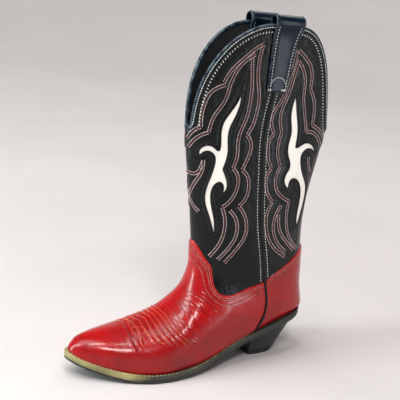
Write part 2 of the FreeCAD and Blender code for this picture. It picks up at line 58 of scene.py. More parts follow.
HEEL_MID = 48.0          # from the back of the heel seat to the origin
OUTSOLE = 4.5            # thickness of the sole
WELT = 3.0               # thickness of the welt
SHAFT_FACE = 2.3         # faces of the leathers, measured out from the lining's inner face
FOOT_FACE = 3.7
STEP = 0.9               # size of a cell in the grid over the form
SIDES = {1: "outer", -1: "inner"}
FAR = 14.0               # reach of the outlines' distance fields
NEWTON_STEP = 0.002      # in stations and in radians

# ------------------------------------------------------------------ the boot's form, as in the part
SECTIONS = np.array([
    (267.2, 27.3, 267.2, 25.7, 0.8, 0.9, 0.9, 2, 2),
    (266.3, 29.4, 266.3, 20.5, 5, 3.8, 3.8, 2.2, 2.1),
    (264, 31.9, 264, 15.6, 9.5, 7.2, 7.2, 2.7, 2.2),
    (259.5, 34, 259.5, 12.8, 14, 11.3, 11.3, 3.4, 2.2),
    (251, 35.8, 251, 9.5, 16, 16.5, 16.5, 3.8, 2.2),
    (237, 37, 237, 5.2, 19, 23.5, 23.5, 4, 2.2),
    (213.5, 39, 213.5, 1, 21, 33.5, 33.5, 4, 2.2),
    (188, 44.5, 188, -0.8, 23, 41, 39, 4, 2.1),
    (168, 53.5, 168, -0.3, 26, 41, 37, 4, 2),
    (155.5, 65, 133.7, 4.5, 33, 38.5, 32.5, 3.8, 2),
    (146.8, 76.5, 99.5, 16, 40, 35, 29, 3.5, 2),
    (142.4, 87.5, 66.6, 26.3, 46, 32, 28, 3.2, 2.1),
    (140.2, 97.5, 33.3, 36.6, 50, 29.5, 27, 2.9, 2.2),
    (139.6, 105, 4.6, 48, 52, 28, 26, 2.5, 2.2),
    (140, 111.5, 5.2, 72, 54, 28, 26, 2.3, 2.2),
    (140.8, 121, 8.2, 99, 58, 29, 27, 2.2, 2.1),
    (142.5, 135, 11.2, 138, 62, 29, 27.5, 2.1, 2),
    (148.4, 171, 8.8, 176, 68, 25, 25, 2, 2),
    (155.6, 208, 1.8, 214, 75, 22, 22, 2, 2),
    (162.4, 249, -6.2, 255, 82, 19.5, 19.5, 2, 2),
    (166.4, 290, -11.2, 296, 86, 19.5, 19.5, 2, 2),
    (168.5, 330, -14.4, 336, 89, 20.5, 20.5, 2, 2),
    (169.5, 368, -16.4, 374, 90, 22, 22, 2, 2),
])
SOLE_PROFILE = [
    (-12, 48.5), (0, 45), (30, 37), (50, 31), (70, 25.3), (85, 20.6),
    (100, 15.4), (120, 8.6), (140, 3.2), (160, 0.7), (180, 0), (195, 0.1),
    (218, 1.9), (240, 6.2), (259, 12.2), (275, 18.6), (290, 25.5),
]
SOLE_OUTLINE = [
    (-1.6, 0), (2.8, 14), (14, 26), (35, 32), (70, 33.2), (110, 38),
    (147, 46), (178, 49), (200, 46.5), (220, 39.5), (243, 28), (259, 18.5),
    (269.5, 10.5), (275, 0), (269.5, -10.5), (259, -18.5), (243, -28),
    (220, -38.5), (198, -44.5), (175, -44.5), (145, -38.5), (110, -31.5),
    (70, -30.8), (35, -30.8), (14, -25.5), (2.8, -14),
]
SEAM = [
    (73, 400), (75, 360), (77.5, 326), (80.5, 292), (85.5, 250), (84, 205),
    (81, 160), (77.5, 134), (71, 107), (67, 89), (62.8, 71), (62.5, 55),
    (66.5, 43), (72, 32), (78, 10),
]
VAMP_EDGE = [
    (162, 146), (150, 136.5), (143.5, 129), (136, 116.5), (128.5, 106),
    (126.5, 95.5), (124.5, 85.5), (118, 79.5), (107.5, 78.2), (96, 80.5), (83, 84.3),
    (67, 89), (-20, 112),
]
COUNTER_EDGE = [
    (130, 62), (90, 80), (67, 89), (60.5, 94.5), (44.8, 104), (22, 115.5),
    (2, 122.5), (-30, 128),
]
TOP_LINE = [
    (172, 248.5), (166, 249.3), (163.6, 251.2), (162.7, 257), (162.6, 267), (161, 283),
    (155.6, 303), (148.3, 317.5), (139.2, 330), (128.3, 340.5), (116, 348),
    (103.6, 353), (90, 354.8), (75, 354), (58, 354.8), (43.5, 351.5),
    (33, 344.1), (24.4, 333.5), (16.8, 319.5), (9.6, 297.7), (3.4, 275), (-1, 259),
    (-5.5, 250.5), (-12, 246.5),
]
FRONT_FLAME = [
    [(118, 285.5), (117.5, 280), (118.8, 272), (121.5, 263.5), (124.5, 256.5),
     (126.5, 248.5), (126.3, 239), (125.3, 229.5), (126.3, 221), (129, 211)],
    [(129, 211), (125, 203), (122.7, 194.5), (123.3, 190.5), (126, 187)],
    [(126, 187), (125.6, 192.5), (127.5, 196.8), (130.8, 198.3), (134.5, 196.3),
     (137.2, 191.5), (138, 183.5), (136, 172.5), (133.5, 163.5), (131.5, 155),
     (130.5, 144.5)],
    [(130.5, 144.5), (133.5, 153.5), (136.8, 163), (140.2, 171.5), (142.2, 180),
     (142.3, 188), (141, 196), (139.2, 203.5), (137.5, 212), (136.7, 219),
     (137.7, 224.2), (141, 227.7), (145.5, 229.2), (149.5, 227.7), (152.5, 224)],
    [(152.5, 224), (152.7, 228.7), (150.3, 232.4), (145.5, 234.3), (141, 233.4),
     (137.3, 230.4), (133.8, 228.3)],
    [(133.8, 228.3), (132.9, 233), (133.3, 241), (133.8, 250), (132.5, 257.5),
     (129, 264.3), (124.5, 271.3), (120.5, 278.3), (118, 285.5)],
]
BACK_FLAME = [
    [(52.8, 286), (50.8, 279.5), (48.8, 272), (46.2, 262.5), (43.8, 253),
     (43.2, 243), (43.8, 236.5), (43.8, 232)],
    [(43.8, 232), (40.3, 232.9), (34.7, 235.6), (27.5, 237), (20.5, 235),
     (15.5, 231), (12.5, 226)],
    [(12.5, 226), (18.5, 230.2), (25, 231.2), (30.5, 229.2), (33.9, 224.7),
     (34.1, 218), (31.2, 208.5), (26.2, 200), (20.9, 192), (18.3, 184),
     (18.5, 175.5), (21, 166), (24.6, 157), (29, 146.5)],
    [(29, 146.5), (30.6, 155), (29.6, 164.5), (28.1, 173), (27.6, 180.5),
     (29, 188), (32, 194.2), (36.7, 198.7), (42, 200.3), (46, 199),
     (48, 195), (48.6, 189.7)],
    [(48.6, 189.7), (52.6, 193.5), (54.8, 199), (53.3, 204.8), (49.3, 210.5)],
    [(49.3, 210.5), (49.2, 216.5), (52, 223), (54.1, 230.5), (53.7, 238.5),
     (52.1, 246), (52.3, 253.5), (54.6, 263), (55.1, 273), (54.2, 280),
     (52.8, 286)],
]

# Twin stitch rows of the scallops on one side of the shaft: f, z.
TWIN_ROWS = [
    [(101, 336.5), (110.9, 329.8), (121, 320.2), (131.3, 309.6), (137.5, 297)],
    [(135, 295), (142, 292.5), (148.5, 288), (154, 275), (155.3, 264), (154.5, 252.5)],
    [(154.5, 252.5), (158, 250.5), (162, 245), (163, 239)],
    [(108, 326), (117.5, 319.5), (124, 312), (128, 304), (131, 294), (133, 283),
     (137.5, 273.5), (142.5, 265.5), (145.5, 257), (146.8, 247.5)],
    [(146.8, 247.5), (155, 243.5), (159.5, 237.5), (161.5, 230.5)],
    [(111, 322.5), (109, 306.5), (107, 291.5), (107, 281), (108, 268), (111, 257.5),
     (114.5, 247.5), (115.5, 238.5), (114.7, 228), (115.7, 219.5), (118, 212.5)],
    [(118, 212.5), (113, 206.5), (111, 199.5), (112, 191), (114.5, 184), (119, 177.5),
     (125.5, 172)],
    [(125.5, 172), (122.5, 164), (121, 155), (121.5, 144.5), (125, 132), (132, 119)],
    [(101.5, 335.5), (103, 321), (101.5, 301), (97.5, 282.5), (98.5, 267), (101.5, 255),
     (106.5, 246.5)],
    [(106.5, 246.5), (102, 241), (100.3, 234), (101.8, 226.5), (104.5, 219), (108, 211)],
    [(108, 211), (101.5, 205), (99, 196.5), (99.2, 188), (102, 180), (108, 173.5)],
    [(108, 173.5), (102.5, 166.5), (98.7, 157), (98.5, 144), (104.5, 132), (117, 113)],
    [(148.5, 219.5), (148, 213), (149.5, 204), (152.3, 196), (153.3, 187), (151.8, 177),
     (149, 169.5), (145.5, 165.5)],
    [(157.5, 205), (154.5, 204), (151, 207.5), (149.5, 213.5), (148.5, 219.5)],
    [(117.5, 169), (111.5, 162.5), (108.5, 154.5), (108.5, 144.5), (114, 131), (124, 116)],
    [(60, 333), (61.5, 316.5), (66.5, 297), (70, 283), (77, 272), (79.6, 264.5),
     (79, 256.5), (74.5, 248)],
    [(74.5, 248), (79.5, 242), (80.2, 232), (79, 222.5), (74, 212.5)],
    [(74, 212.5), (78.6, 206), (79, 195.5), (75, 184.5), (69, 177)],
    [(69, 177), (73.5, 169), (75.3, 157), (71.5, 140), (60.5, 126), (45, 116)],
    [(55.5, 323.5), (58.3, 309.5), (61, 295), (65.5, 281), (68.8, 271), (69, 261),
     (65.5, 250)],
    [(65.5, 250), (68, 236.5), (67, 224), (62.5, 214)],
    [(62.5, 214), (67, 204), (66, 192), (57, 182), (46, 176)],
    [(46, 176), (48, 162), (46, 146), (38.5, 133), (26, 121)],
    [(58, 332.5), (46.5, 324.5), (38.5, 316), (34.8, 305), (34.5, 294)],
    [(34.5, 294), (27, 283), (23.8, 270), (23.5, 256)],
    [(23.5, 256), (14.5, 252), (4, 243.5)],
    [(54, 320.5), (47, 311.5), (43, 300), (42.5, 288), (38.5, 272), (31.5, 249.5)],
    [(31.5, 249.5), (22, 248.5), (11.5, 242), (4.5, 233.5)],
    [(56.5, 173), (63.5, 162), (65, 147), (59, 133.5), (45, 121)],
    [(59.5, 163), (57, 147), (48.5, 135.5), (33, 121.5)],
    [(23, 222), (21.5, 213), (15, 204.5)],
]
# Low relief rows in dark thread above the tips of the inlays.
DARK_ROWS = [
    [(113, 308.5), (117.5, 299), (120.7, 289), (124.5, 279.5), (130.5, 270)],
    [(113, 308.5), (114, 297), (114.2, 286), (115.2, 275)],
    [(50.5, 306), (47.5, 296), (46.5, 283), (44.5, 272)],
    [(50.5, 306), (55, 296), (57.5, 285), (58.8, 272)],
    [(128.5, 181.5), (128, 190), (131.5, 194.5), (135, 190.5), (134.5, 181), (130, 170)],
]
# Creases over the ball of the foot, middle to outer side: x, f, z.
RIBS = [
    [(-6, 202, 44), (12, 204, 43), (26, 206, 39), (34, 207, 34)],
    [(-6, 194, 46), (13, 197, 45), (27, 196, 41), (36, 194, 37)],
    [(-6, 188, 48), (12, 191, 47), (29, 190, 42), (39, 185, 37)],
    [(-6, 183, 50), (14, 185, 48), (32, 183, 43), (41, 178, 36)],
    [(-6, 179, 51), (11, 180, 51), (32, 177, 44), (42, 172, 36)],
    [(-6, 175, 53), (18, 175, 51), (37, 170, 43), (44, 163, 35)],
    [(-6, 171, 55), (21, 171, 52), (38, 165, 43), (44, 157, 36)],
    [(-5, 165, 60), (12, 166, 58), (29, 162, 54), (38, 157, 47)],
    [(5, 158, 68), (15, 156, 67), (25, 154, 63), (31, 152, 58)],
]
# Flex creases behind the ribs.
SOFT_CREASES = [
    [(6, 152, 72), (20, 147, 68), (31, 139, 62), (38, 130, 54)],
    [(2, 143, 77), (15, 139, 74), (27, 131, 68), (35, 122, 61)],
    [(10, 134, 80), (21, 129, 76), (31, 119, 70)],
    [(16, 126, 82), (26, 119, 77), (33, 110, 72)],
    [(38, 163, 44), (42, 158, 38), (45, 150, 32)],
    [(32, 153, 57), (36, 150, 53), (39, 145, 50)],
    [(26, 143, 70), (33, 138, 64), (36, 133, 58)],
    [(30, 161, 50), (38, 155, 47), (43, 148, 39)],
    [(31, 152, 60), (37, 147, 53), (40, 139, 48)],
]
# Loops of toe stitching, outer half.
MEDALLION = [
    [(1, 207, 43), (6, 203, 43), (13, 202, 42), (18, 205, 41), (15, 209, 41), (8, 208, 42), (5, 204, 43)],
    [(5, 205, 43), (9, 198, 44), (16, 196, 43), (20, 200, 42), (17, 204, 41), (11, 203, 43)],
    [(22, 199, 41), (27, 192, 40), (33, 190, 37), (33, 195, 36), (28, 199, 38), (24, 196, 41)],
    [(25, 189, 43), (30, 184, 42), (36, 182, 38), (36, 187, 36), (31, 191, 39)],
]
TOE_CREASE = [(-14, 209, 42), (-6, 210, 43), (15, 213, 41), (30, 213, 35), (39, 209, 25)]


def natural(xs, ys):
    """Natural cubic spline through the points; ys may have several columns."""
    xs = np.asarray(xs, float)
    ys = np.asarray(ys, float)
    n = len(xs)
    matrix = np.zeros((n, n))
    right = np.zeros_like(ys)
    matrix[0, 0] = matrix[-1, -1] = 1.0
    for i in range(1, n - 1):
        low, high = xs[i] - xs[i - 1], xs[i + 1] - xs[i]
        matrix[i, i - 1:i + 2] = (low, 2.0 * (low + high), high)
        right[i] = 6.0 * ((ys[i + 1] - ys[i]) / high - (ys[i] - ys[i - 1]) / low)
    bend = np.linalg.solve(matrix, right)

    def value(x):
        x = np.asarray(x, float)
        i = np.clip(np.searchsorted(xs, x, side="right") - 1, 0, n - 2)
        gap = xs[i + 1] - xs[i]
        v = (x - xs[i]) / gap
        if ys.ndim == 2:
            gap, v = gap[..., None], v[..., None]
        u = 1.0 - v
        cubic = ((u ** 3 - u) * bend[i] + (v ** 3 - v) * bend[i + 1]) * gap * gap / 6.0
        return u * ys[i] + v * ys[i + 1] + cubic

    return value


def run_of(line):
    """Length of a line up to each of its points."""
    return np.concatenate([[0.0], np.cumsum(np.linalg.norm(np.diff(line, axis=0), axis=1))])


def unit(vectors):
    return vectors / np.linalg.norm(vectors, axis=-1, keepdims=True)


def smooth(points, gap=1.5):
    """Even points along the smooth line through the given ones."""
    points = np.asarray(points, float)
    run = run_of(points)
    return even(natural(run, points)(np.linspace(0.0, run[-1], max(8, int(run[-1] / 0.4)))), gap)


def even(line, gap, part=None):
    """The same line with its points the same distance apart; columns after the part are carried along."""
    run = run_of(line[:, :part])
    at = np.linspace(0.0, run[-1], max(2, int(round(run[-1] / gap)) + 1))
    return np.stack([np.interp(at, run, column) for column in line.T], -1)


LAST = len(SECTIONS) - 1.0
station = natural(np.arange(len(SECTIONS)), SECTIONS)
sole_height = natural([p[0] for p in SOLE_PROFILE], [p[1] for p in SOLE_PROFILE])


def power(value, exponent):
    return np.sign(value) * np.abs(value) ** exponent


def on_form(s, angle):
    """Points of the lining's inner face at a station and an angle round it."""
    row = station(s)
    low = row[..., 2:4]
    axis = row[..., 0:2] - low
    length = np.linalg.norm(axis, axis=-1)
    axis = axis / length[..., None]
    c, q = np.cos(angle), np.sin(angle)
    roundness = 2.0 / np.where(c >= 0, row[..., 8], row[..., 7])
    reach = np.where(c >= 0, length - row[..., 4], row[..., 4])
    distance = row[..., 4] + power(c, roundness) * reach
    x = power(q, roundness) * np.where(q < 0, row[..., 6], row[..., 5])
    side = low + axis * distance[..., None]
    return np.stack([x, HEEL_MID - side[..., 0], side[..., 1]], -1)


def form(s, angle):
    """The same points with the normals that point out of the boot."""
    small = 1e-3
    here = on_form(s, angle)
    turn = on_form(s, angle + small) - on_form(s, angle - small)
    climb = on_form(np.minimum(s + small, LAST), angle) - on_form(np.maximum(s - small, 0.0), angle)
    return here, unit(np.cross(turn, climb))


# ------------------------------------------------------------------ even grid over the whole form
def make_grid():
    fine = np.linspace(0.0, LAST, 1761)
    gap = np.zeros(len(fine) - 1)
    for degrees in (0, 50, 90, 115, 245, 270, 310):
        gap = np.maximum(gap, np.diff(run_of(on_form(fine, np.full_like(fine, math.radians(degrees))))))
    run = np.concatenate([[0.0], np.cumsum(gap)])
    rows = np.interp(np.linspace(0.0, run[-1], int(run[-1] / STEP)), run, fine)
    half = int(190.0 / STEP)
    dense = np.linspace(0.0, math.pi, 721)
    angles = np.zeros((len(rows), 2 * half))
    for i, s in enumerate(rows):
        for side, turn in enumerate((dense, dense + math.pi)):
            run = run_of(on_form(np.full_like(turn, s), turn))
            at = np.linspace(0.0, run[-1], half + 1)[:-1]
            angles[i, side * half:(side + 1) * half] = np.interp(at, run, turn)
    s = np.repeat(rows[:, None], 2 * half, axis=1)
    place, normal = form(s, angles)
    index = np.arange(s.size).reshape(s.shape)
    after = np.roll(index, -1, axis=1)
    quads = np.stack([index[:-1], after[:-1], after[1:], index[1:]], -1).reshape(-1, 4)
    return place.reshape(-1, 3), normal.reshape(-1, 3), s.ravel(), angles.ravel(), quads


PLACE, NORMAL, S_AT, A_AT, QUADS = make_grid()


def side_view(place, normal, off):
    at = place + normal * off
    return np.stack([HEEL_MID - at[:, 1], at[:, 2]], -1)


VIEWS = {off: side_view(PLACE, NORMAL, off) for off in (0.0, SHAFT_FACE, FOOT_FACE)}


# ------------------------------------------------------------------ outlines as signed distances
def signed(outline, view):
    """Distance from a closed side view outline, positive inside it; it stops at FAR outside."""
    low, high = outline.min(0) - FAR, outline.max(0) + FAR
    near = np.where(np.all((view > low) & (view < high), axis=1))[0]
    f, z = view[near, 0], view[near, 1]
    best = np.full(len(near), FAR ** 2)
    inside = np.zeros(len(near), bool)
    for a, b in zip(outline, np.roll(outline, -1, axis=0)):
        df, dz = b - a
        size = df * df + dz * dz
        if size < 1e-9:
            continue
        pf, pz = f - a[0], z - a[1]
        t = np.clip((pf * df + pz * dz) / size, 0.0, 1.0)
        best = np.minimum(best, (pf - t * df) ** 2 + (pz - t * dz) ** 2)
        if abs(dz) > 1e-9:
            inside ^= ((a[1] > z) != (b[1] > z)) & (pf < df * (z - a[1]) / dz)
    result = np.full(len(view), -FAR)
    result[near] = np.where(inside, 1.0, -1.0) * np.sqrt(best)
    return result


def ahead_outline():
    line = smooth(SEAM)
    return np.concatenate([line, [(line[-1][0], -60.0), (340.0, -60.0), (340.0, 460.0), (line[0][0], 460.0)]])


def under_outline(points):
    line = smooth(points)
    return np.concatenate([line, [(-90.0, line[-1][1]), (-90.0, -60.0), (340.0, -60.0), (340.0, line[0][1])]])


SEAM_OUTLINE = ahead_outline()
VAMP_OUTLINE = under_outline(VAMP_EDGE)
COUNTER_OUTLINE = under_outline(COUNTER_EDGE)
TOP_OUTLINE = under_outline(TOP_LINE)


def over_sole_of(f, z):
    return z - sole_height(np.clip(f, -12, 290)) - OUTSOLE


over_sole = {off: over_sole_of(*view.T) for off, view in VIEWS.items()}
under_top = {off: signed(TOP_OUTLINE, VIEWS[off]) for off in (0.0, SHAFT_FACE)}
ahead = {off: signed(SEAM_OUTLINE, VIEWS[off]) for off in VIEWS}
in_vamp = signed(VAMP_OUTLINE, VIEWS[FOOT_FACE])
in_counter = signed(COUNTER_OUTLINE, VIEWS[FOOT_FACE])
in_flame = {}
for name, runs in (("front", FRONT_FLAME), ("back", BACK_FLAME)):
    in_flame[name] = signed(np.concatenate([smooth(run, 1.0)[:-1] for run in runs]), VIEWS[SHAFT_FACE])


# ------------------------------------------------------------------ cutting and contours
def clipped(field):
    """Faces of the grid where the field is positive, cut at zero, and where their corners come from."""
    value = field[QUADS]
    whole = np.all(value > 0, axis=1)
    part = np.any(value > 0, axis=1) & ~whole
    used = np.unique(QUADS[whole | part][value[whole | part] > 0])
    number = np.full(len(field), -1)
    number[used] = np.arange(len(used))
    first, second, share = list(used), list(used), [0.0] * len(used)
    edge_point = {}

    def crossing(a, b):
        key = (a, b) if a < b else (b, a)
        if key not in edge_point:
            edge_point[key] = len(first)
            first.append(key[0])
            second.append(key[1])
            fa, fb = field[key[0]], field[key[1]]
            share.append(fa / (fa - fb))
        return edge_point[key]

    faces = number[QUADS[whole]].tolist()
    for quad in QUADS[part]:
        face = []
        for k in range(4):
            a, b = int(quad[k]), int(quad[(k + 1) % 4])
            if field[a] > 0:
                face.append(int(number[a]))
            if (field[a] > 0) != (field[b] > 0):
                face.append(crossing(a, b))
        if len(face) > 2:
            faces.append(face)
    return faces, np.array(first), np.array(second), np.array(share)


def take(values, first, second, share):
    if values.ndim == 2:
        share = share[:, None]
    return values[first] * (1.0 - share) + values[second] * share


def contour(field, level, keep=None):
    """Lines on the form where the field has a level; each is an array of points and one of normals."""
    shifted = field - level
    value = shifted[QUADS] > 0
    count = value.sum(1)
    part = (count > 0) & (count < 4)
    joined, source = {}, {}
    for quad in QUADS[part]:
        ends = []
        for k in range(4):
            a, b = int(quad[k]), int(quad[(k + 1) % 4])
            if (shifted[a] > 0) != (shifted[b] > 0):
                key = (min(a, b), max(a, b))
                source[key] = shifted[key[0]] / (shifted[key[0]] - shifted[key[1]])
                ends.append(key)
        if len(ends) == 2:
            joined.setdefault(ends[0], []).append(ends[1])
            joined.setdefault(ends[1], []).append(ends[0])
    if keep is not None:
        joined = {k: v for k, v in joined.items() if keep[k[0]] > 0 and keep[k[1]] > 0}
        joined = {k: [o for o in v if o in joined] for k, v in joined.items()}
    lines, seen = [], set()
    for start in [k for k in joined if len(joined[k]) == 1] + list(joined):
        if start in seen:
            continue
        chain, onward = [], [start]
        while onward:
            chain.append(onward[0])
            seen.add(onward[0])
            onward = [o for o in joined[onward[0]] if o not in seen]
        if len(chain) > 6:
            closed = chain[0] in joined[chain[-1]] and len(chain) > 10
            ids = np.array(chain + ([chain[0]] if closed else []))
            share = np.array([source[tuple(k)] for k in ids])
            lines.append([take(values, ids[:, 0], ids[:, 1], share) for values in (PLACE, NORMAL)])
    return lines


def resample(line, normal, gap, off):
    """Even points and normals of a line that lies at the distance off over the form."""
    both = even(np.concatenate([line + normal * off, normal], axis=1), gap, 3)
    for _ in range(2):
        both[1:-1] = 0.25 * both[:-2] + 0.5 * both[1:-1] + 0.25 * both[2:]
    return both[:, :3], unit(both[:, 3:])


def make_tree(points, ids):
    """Finds the grid point nearest to a place, among some of them."""
    tree = kdtree.KDTree(len(ids))
    for k, i in enumerate(ids):
        tree.insert(points[i], k)
    tree.balance()
    return lambda places: ids[[tree.find(p)[1] for p in places]]


flat_view = np.concatenate([VIEWS[SHAFT_FACE], np.zeros((len(PLACE), 1))], axis=1)
finders = {}
for side in SIDES:
    finders[side] = make_tree(flat_view, np.where((PLACE[:, 0] * side > 0.5) & (S_AT > 8.5))[0][::3])


def place_on(line, side, off, worst=None):
    """Points and normals over the form with the given side view places, on one side of the boot."""
    near = finders[side]([(p[0], p[1], 0.0) for p in line])
    s, a = S_AT[near].copy(), A_AT[near].copy()
    step = NEWTON_STEP
    for _ in range(5):
        miss = line - side_view(*form(s, a), off)
        ds = (side_view(*form(s + step, a), off) - side_view(*form(s - step, a), off)) / (2.0 * step)
        da = (side_view(*form(s, a + step), off) - side_view(*form(s, a - step), off)) / (2.0 * step)
        size = ds[:, 0] * da[:, 1] - ds[:, 1] * da[:, 0]
        size = np.where(np.abs(size) < 4.0, np.sign(size) * 4.0 + (size == 0), size)
        s += np.clip((miss[:, 0] * da[:, 1] - miss[:, 1] * da[:, 0]) / size, -0.2, 0.2)
        a += np.clip((ds[:, 0] * miss[:, 1] - ds[:, 1] * miss[:, 0]) / size, -0.1, 0.1)
        s = np.clip(s, 0.0, LAST)
    if worst:
        good = np.linalg.norm(line - side_view(*form(s, a), off), axis=1) < worst
        s, a = s[good], a[good]
    return form(s, a)


def locate(line, side, off):
    """Puts a side view line on one side of the form; points that miss it are left out."""
    return place_on(smooth(line, 0.8), side, off, 0.4)


class Near:
    """Distance of points from the nearest of some lines, and how far from that line's ends they are."""

    def __init__(self, lines):
        lines = [line for line in lines if len(line)]
        self.tree = kdtree.KDTree(sum(len(line) for line in lines))
        ends, k = [], 0
        for line in lines:
            run = np.linspace(0.0, 1.0, len(line))
            ends.append(np.sin(math.pi * run))
            for p in line:
                self.tree.insert(p, k)
                k += 1
        self.tree.balance()
        self.ends = np.concatenate(ends)

    def __call__(self, points):
        found = [self.tree.find(p) for p in points]
        return np.array([f[2] for f in found]), self.ends[[f[1] for f in found]]


# ------------------------------------------------------------------ meshes
def build_mesh(name, points, faces, material, crease=38.0, layers=None):
    mesh = bpy.data.meshes.new(name)
    mesh.from_pydata((np.asarray(points) * 0.001).tolist(), [], faces)
    mesh.update()
    mesh.shade_smooth()
    if crease:
        mesh.set_sharp_from_angle(angle=math.radians(crease))
    for key, values in (layers or {}).items():
        mesh.attributes.new(key, "FLOAT", "POINT").data.foreach_set("value", np.asarray(values, np.float32))
    mesh.materials.append(material)
    obj = bpy.data.objects.new(name, mesh)
    bpy.context.scene.collection.objects.link(obj)
    return obj


def finish_piece(obj, nodes=()):
    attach(obj, "root")
    if nodes:
        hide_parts(*nodes)
    return obj


def roll(edge, radius):
    """How far a leather's face drops towards its cut or folded edge."""
    t = np.clip(edge / radius, 0.0, 1.0)
    return radius * (1.0 - np.sqrt(1.0 - (1.0 - t) ** 2))


def leather_piece(name, field, face_off, back_off, radius, relief, material, inward=False):
    """A leather that follows the form: its face with relief, and the wall round its edge."""
    faces, first, second, share = clipped(field)
    place = take(PLACE, first, second, share)
    normal = unit(take(NORMAL, first, second, share))
    edge = np.maximum(take(field, first, second, share), 0.0)
    sign = -1.0 if inward else 1.0
    lift, groove_shade_and_tone = relief(place + normal * face_off)
    top = place + normal * (face_off - sign * roll(edge, radius) + lift)[:, None]
    once = {}
    for face in faces:
        for a, b in zip(face, face[1:] + face[:1]):
            key = (min(a, b), max(a, b))
            once[key] = None if key in once else (a, b)
    rim = [e for e in once.values() if e is not None]
    rim_ids = sorted({v for e in rim for v in e})
    below = {v: len(top) + k for k, v in enumerate(rim_ids)}
    under = place[rim_ids] + normal[rim_ids] * back_off
    points = np.concatenate([top, under])
    faces = faces + [[b, a, below[a], below[b]] for a, b in rim]
    if inward:
        faces = [face[::-1] for face in faces]
    layers = {
        "edge": np.concatenate([np.exp(-edge / 1.6), np.ones(len(under))]),
        "groove_shade_and_tone": np.concatenate([groove_shade_and_tone, np.zeros(len(under))]),
    }
    return build_mesh(name, points, faces, material, 50.0, layers)


def tube_faces(rows, ring, closed=False, flip=False):
    """Faces between the rings of a tube, with its two ends when it is open."""
    count = rows if closed else rows - 1
    faces = []
    for i in range(count):
        a, b = i * ring, (i + 1) % rows * ring
        for k in range(ring):
            l = (k + 1) % ring
            faces.append([a + k, b + k, b + l, a + l])
    if not closed:
        faces.append(list(range(ring)))
        faces.append(list(range((rows - 1) * ring, rows * ring))[::-1])
    return [face[::-1] for face in faces] if flip else faces


def sweep(line, normal, profile, closed=False):
    """Points and faces of a closed profile (side, up) carried along a line."""
    along = np.gradient(line, axis=0)
    if closed:
        along[0] = along[-1] = line[1] - line[-2]
    along = unit(along)
    side = unit(np.cross(along, normal))
    up = np.cross(side, along)
    profile = np.asarray(profile, float)
    points = line[:, None] + side[:, None] * profile[None, :, :1] + up[:, None] * profile[None, :, 1:]
    if closed:
        points = points[:-1]
    return points.reshape(-1, 3), tube_faces(len(points), len(profile), closed)


def round_profile(half, high, count=12, power_of=2.4):
    turn = np.linspace(0, 2 * math.pi, count, endpoint=False)
    return np.stack([half * power(np.cos(turn), 2 / power_of), high * power(np.sin(turn), 2 / power_of)], -1)


class Thread:
    """Collects single stitches, each a short plump thread that dips into its two holes."""

    RINGS = [  # place along the stitch, girth, level
        (-1.0, 0.25, -0.75), (-0.86, 0.72, -0.1), (-0.45, 1.0, 0.22), (0.0, 1.04, 0.3),
        (0.45, 1.0, 0.22), (0.86, 0.72, -0.1), (1.0, 0.25, -0.75),
    ]

    def __init__(self):
        self.points, self.faces, self.shade, self.count = [], [], [], 0
        self.random = np.random.default_rng(7)

    def row(self, line, normal, pitch, length, width, high, lean=0.0):
        if len(line) < 2:
            return
        run = run_of(line)[-1]
        count = int(run / pitch)
        if count < 1:
            return
        centre, up = resample(line, normal, run / count, 0.0)
        centre, up = 0.5 * (centre[:-1] + centre[1:]), unit(up[:-1] + up[1:])
        whole = np.tile(line[-1] - line[0], (len(centre), 1))
        along = unit(np.gradient(centre, axis=0) if len(centre) > 2 else whole)
        side = unit(np.cross(up, along))
        count = len(centre)
        turn = lean + self.random.normal(0.0, 0.05, count)[:, None]
        forward = along * np.cos(turn) + side * np.sin(turn)
        across = side * np.cos(turn) - along * np.sin(turn)
        size = 1.0 + self.random.normal(0.0, 0.04, count)
        block = np.zeros((count, 7, 8, 3))
        for r, (place, girth, level) in enumerate(self.RINGS):
            middle = centre + forward * (place * 0.5 * length * size)[:, None] + up * (level * high)
            for k in range(8):
                t = 0.25 * math.pi * k
                offset = across * (math.cos(t) * 0.5 * width) + up * (math.sin(t) * 0.5 * high)
                block[:, r, k] = middle + offset * girth
        self.points.append(block.reshape(-1, 3))
        one = tube_faces(7, 8, flip=True)
        for c in range(self.count, self.count + 56 * count, 56):
            self.faces.extend([v + c for v in face] for face in one)
        self.shade.append(np.repeat(self.random.uniform(0.0, 1.0, count), 56))
        self.count += 56 * count

    def build(self, name, material):
        points = np.concatenate(self.points)
        return build_mesh(name, points, self.faces, material, None, {"groove_shade_and_tone": np.concatenate(self.shade)})


# ------------------------------------------------------------------ materials
def linear(code):
    parts = [int(code[i:i + 2], 16) / 255.0 for i in (1, 3, 5)]
    return tuple(c / 12.92 if c <= 0.04045 else ((c + 0.055) / 1.055) ** 2.4 for c in parts) + (1.0,)


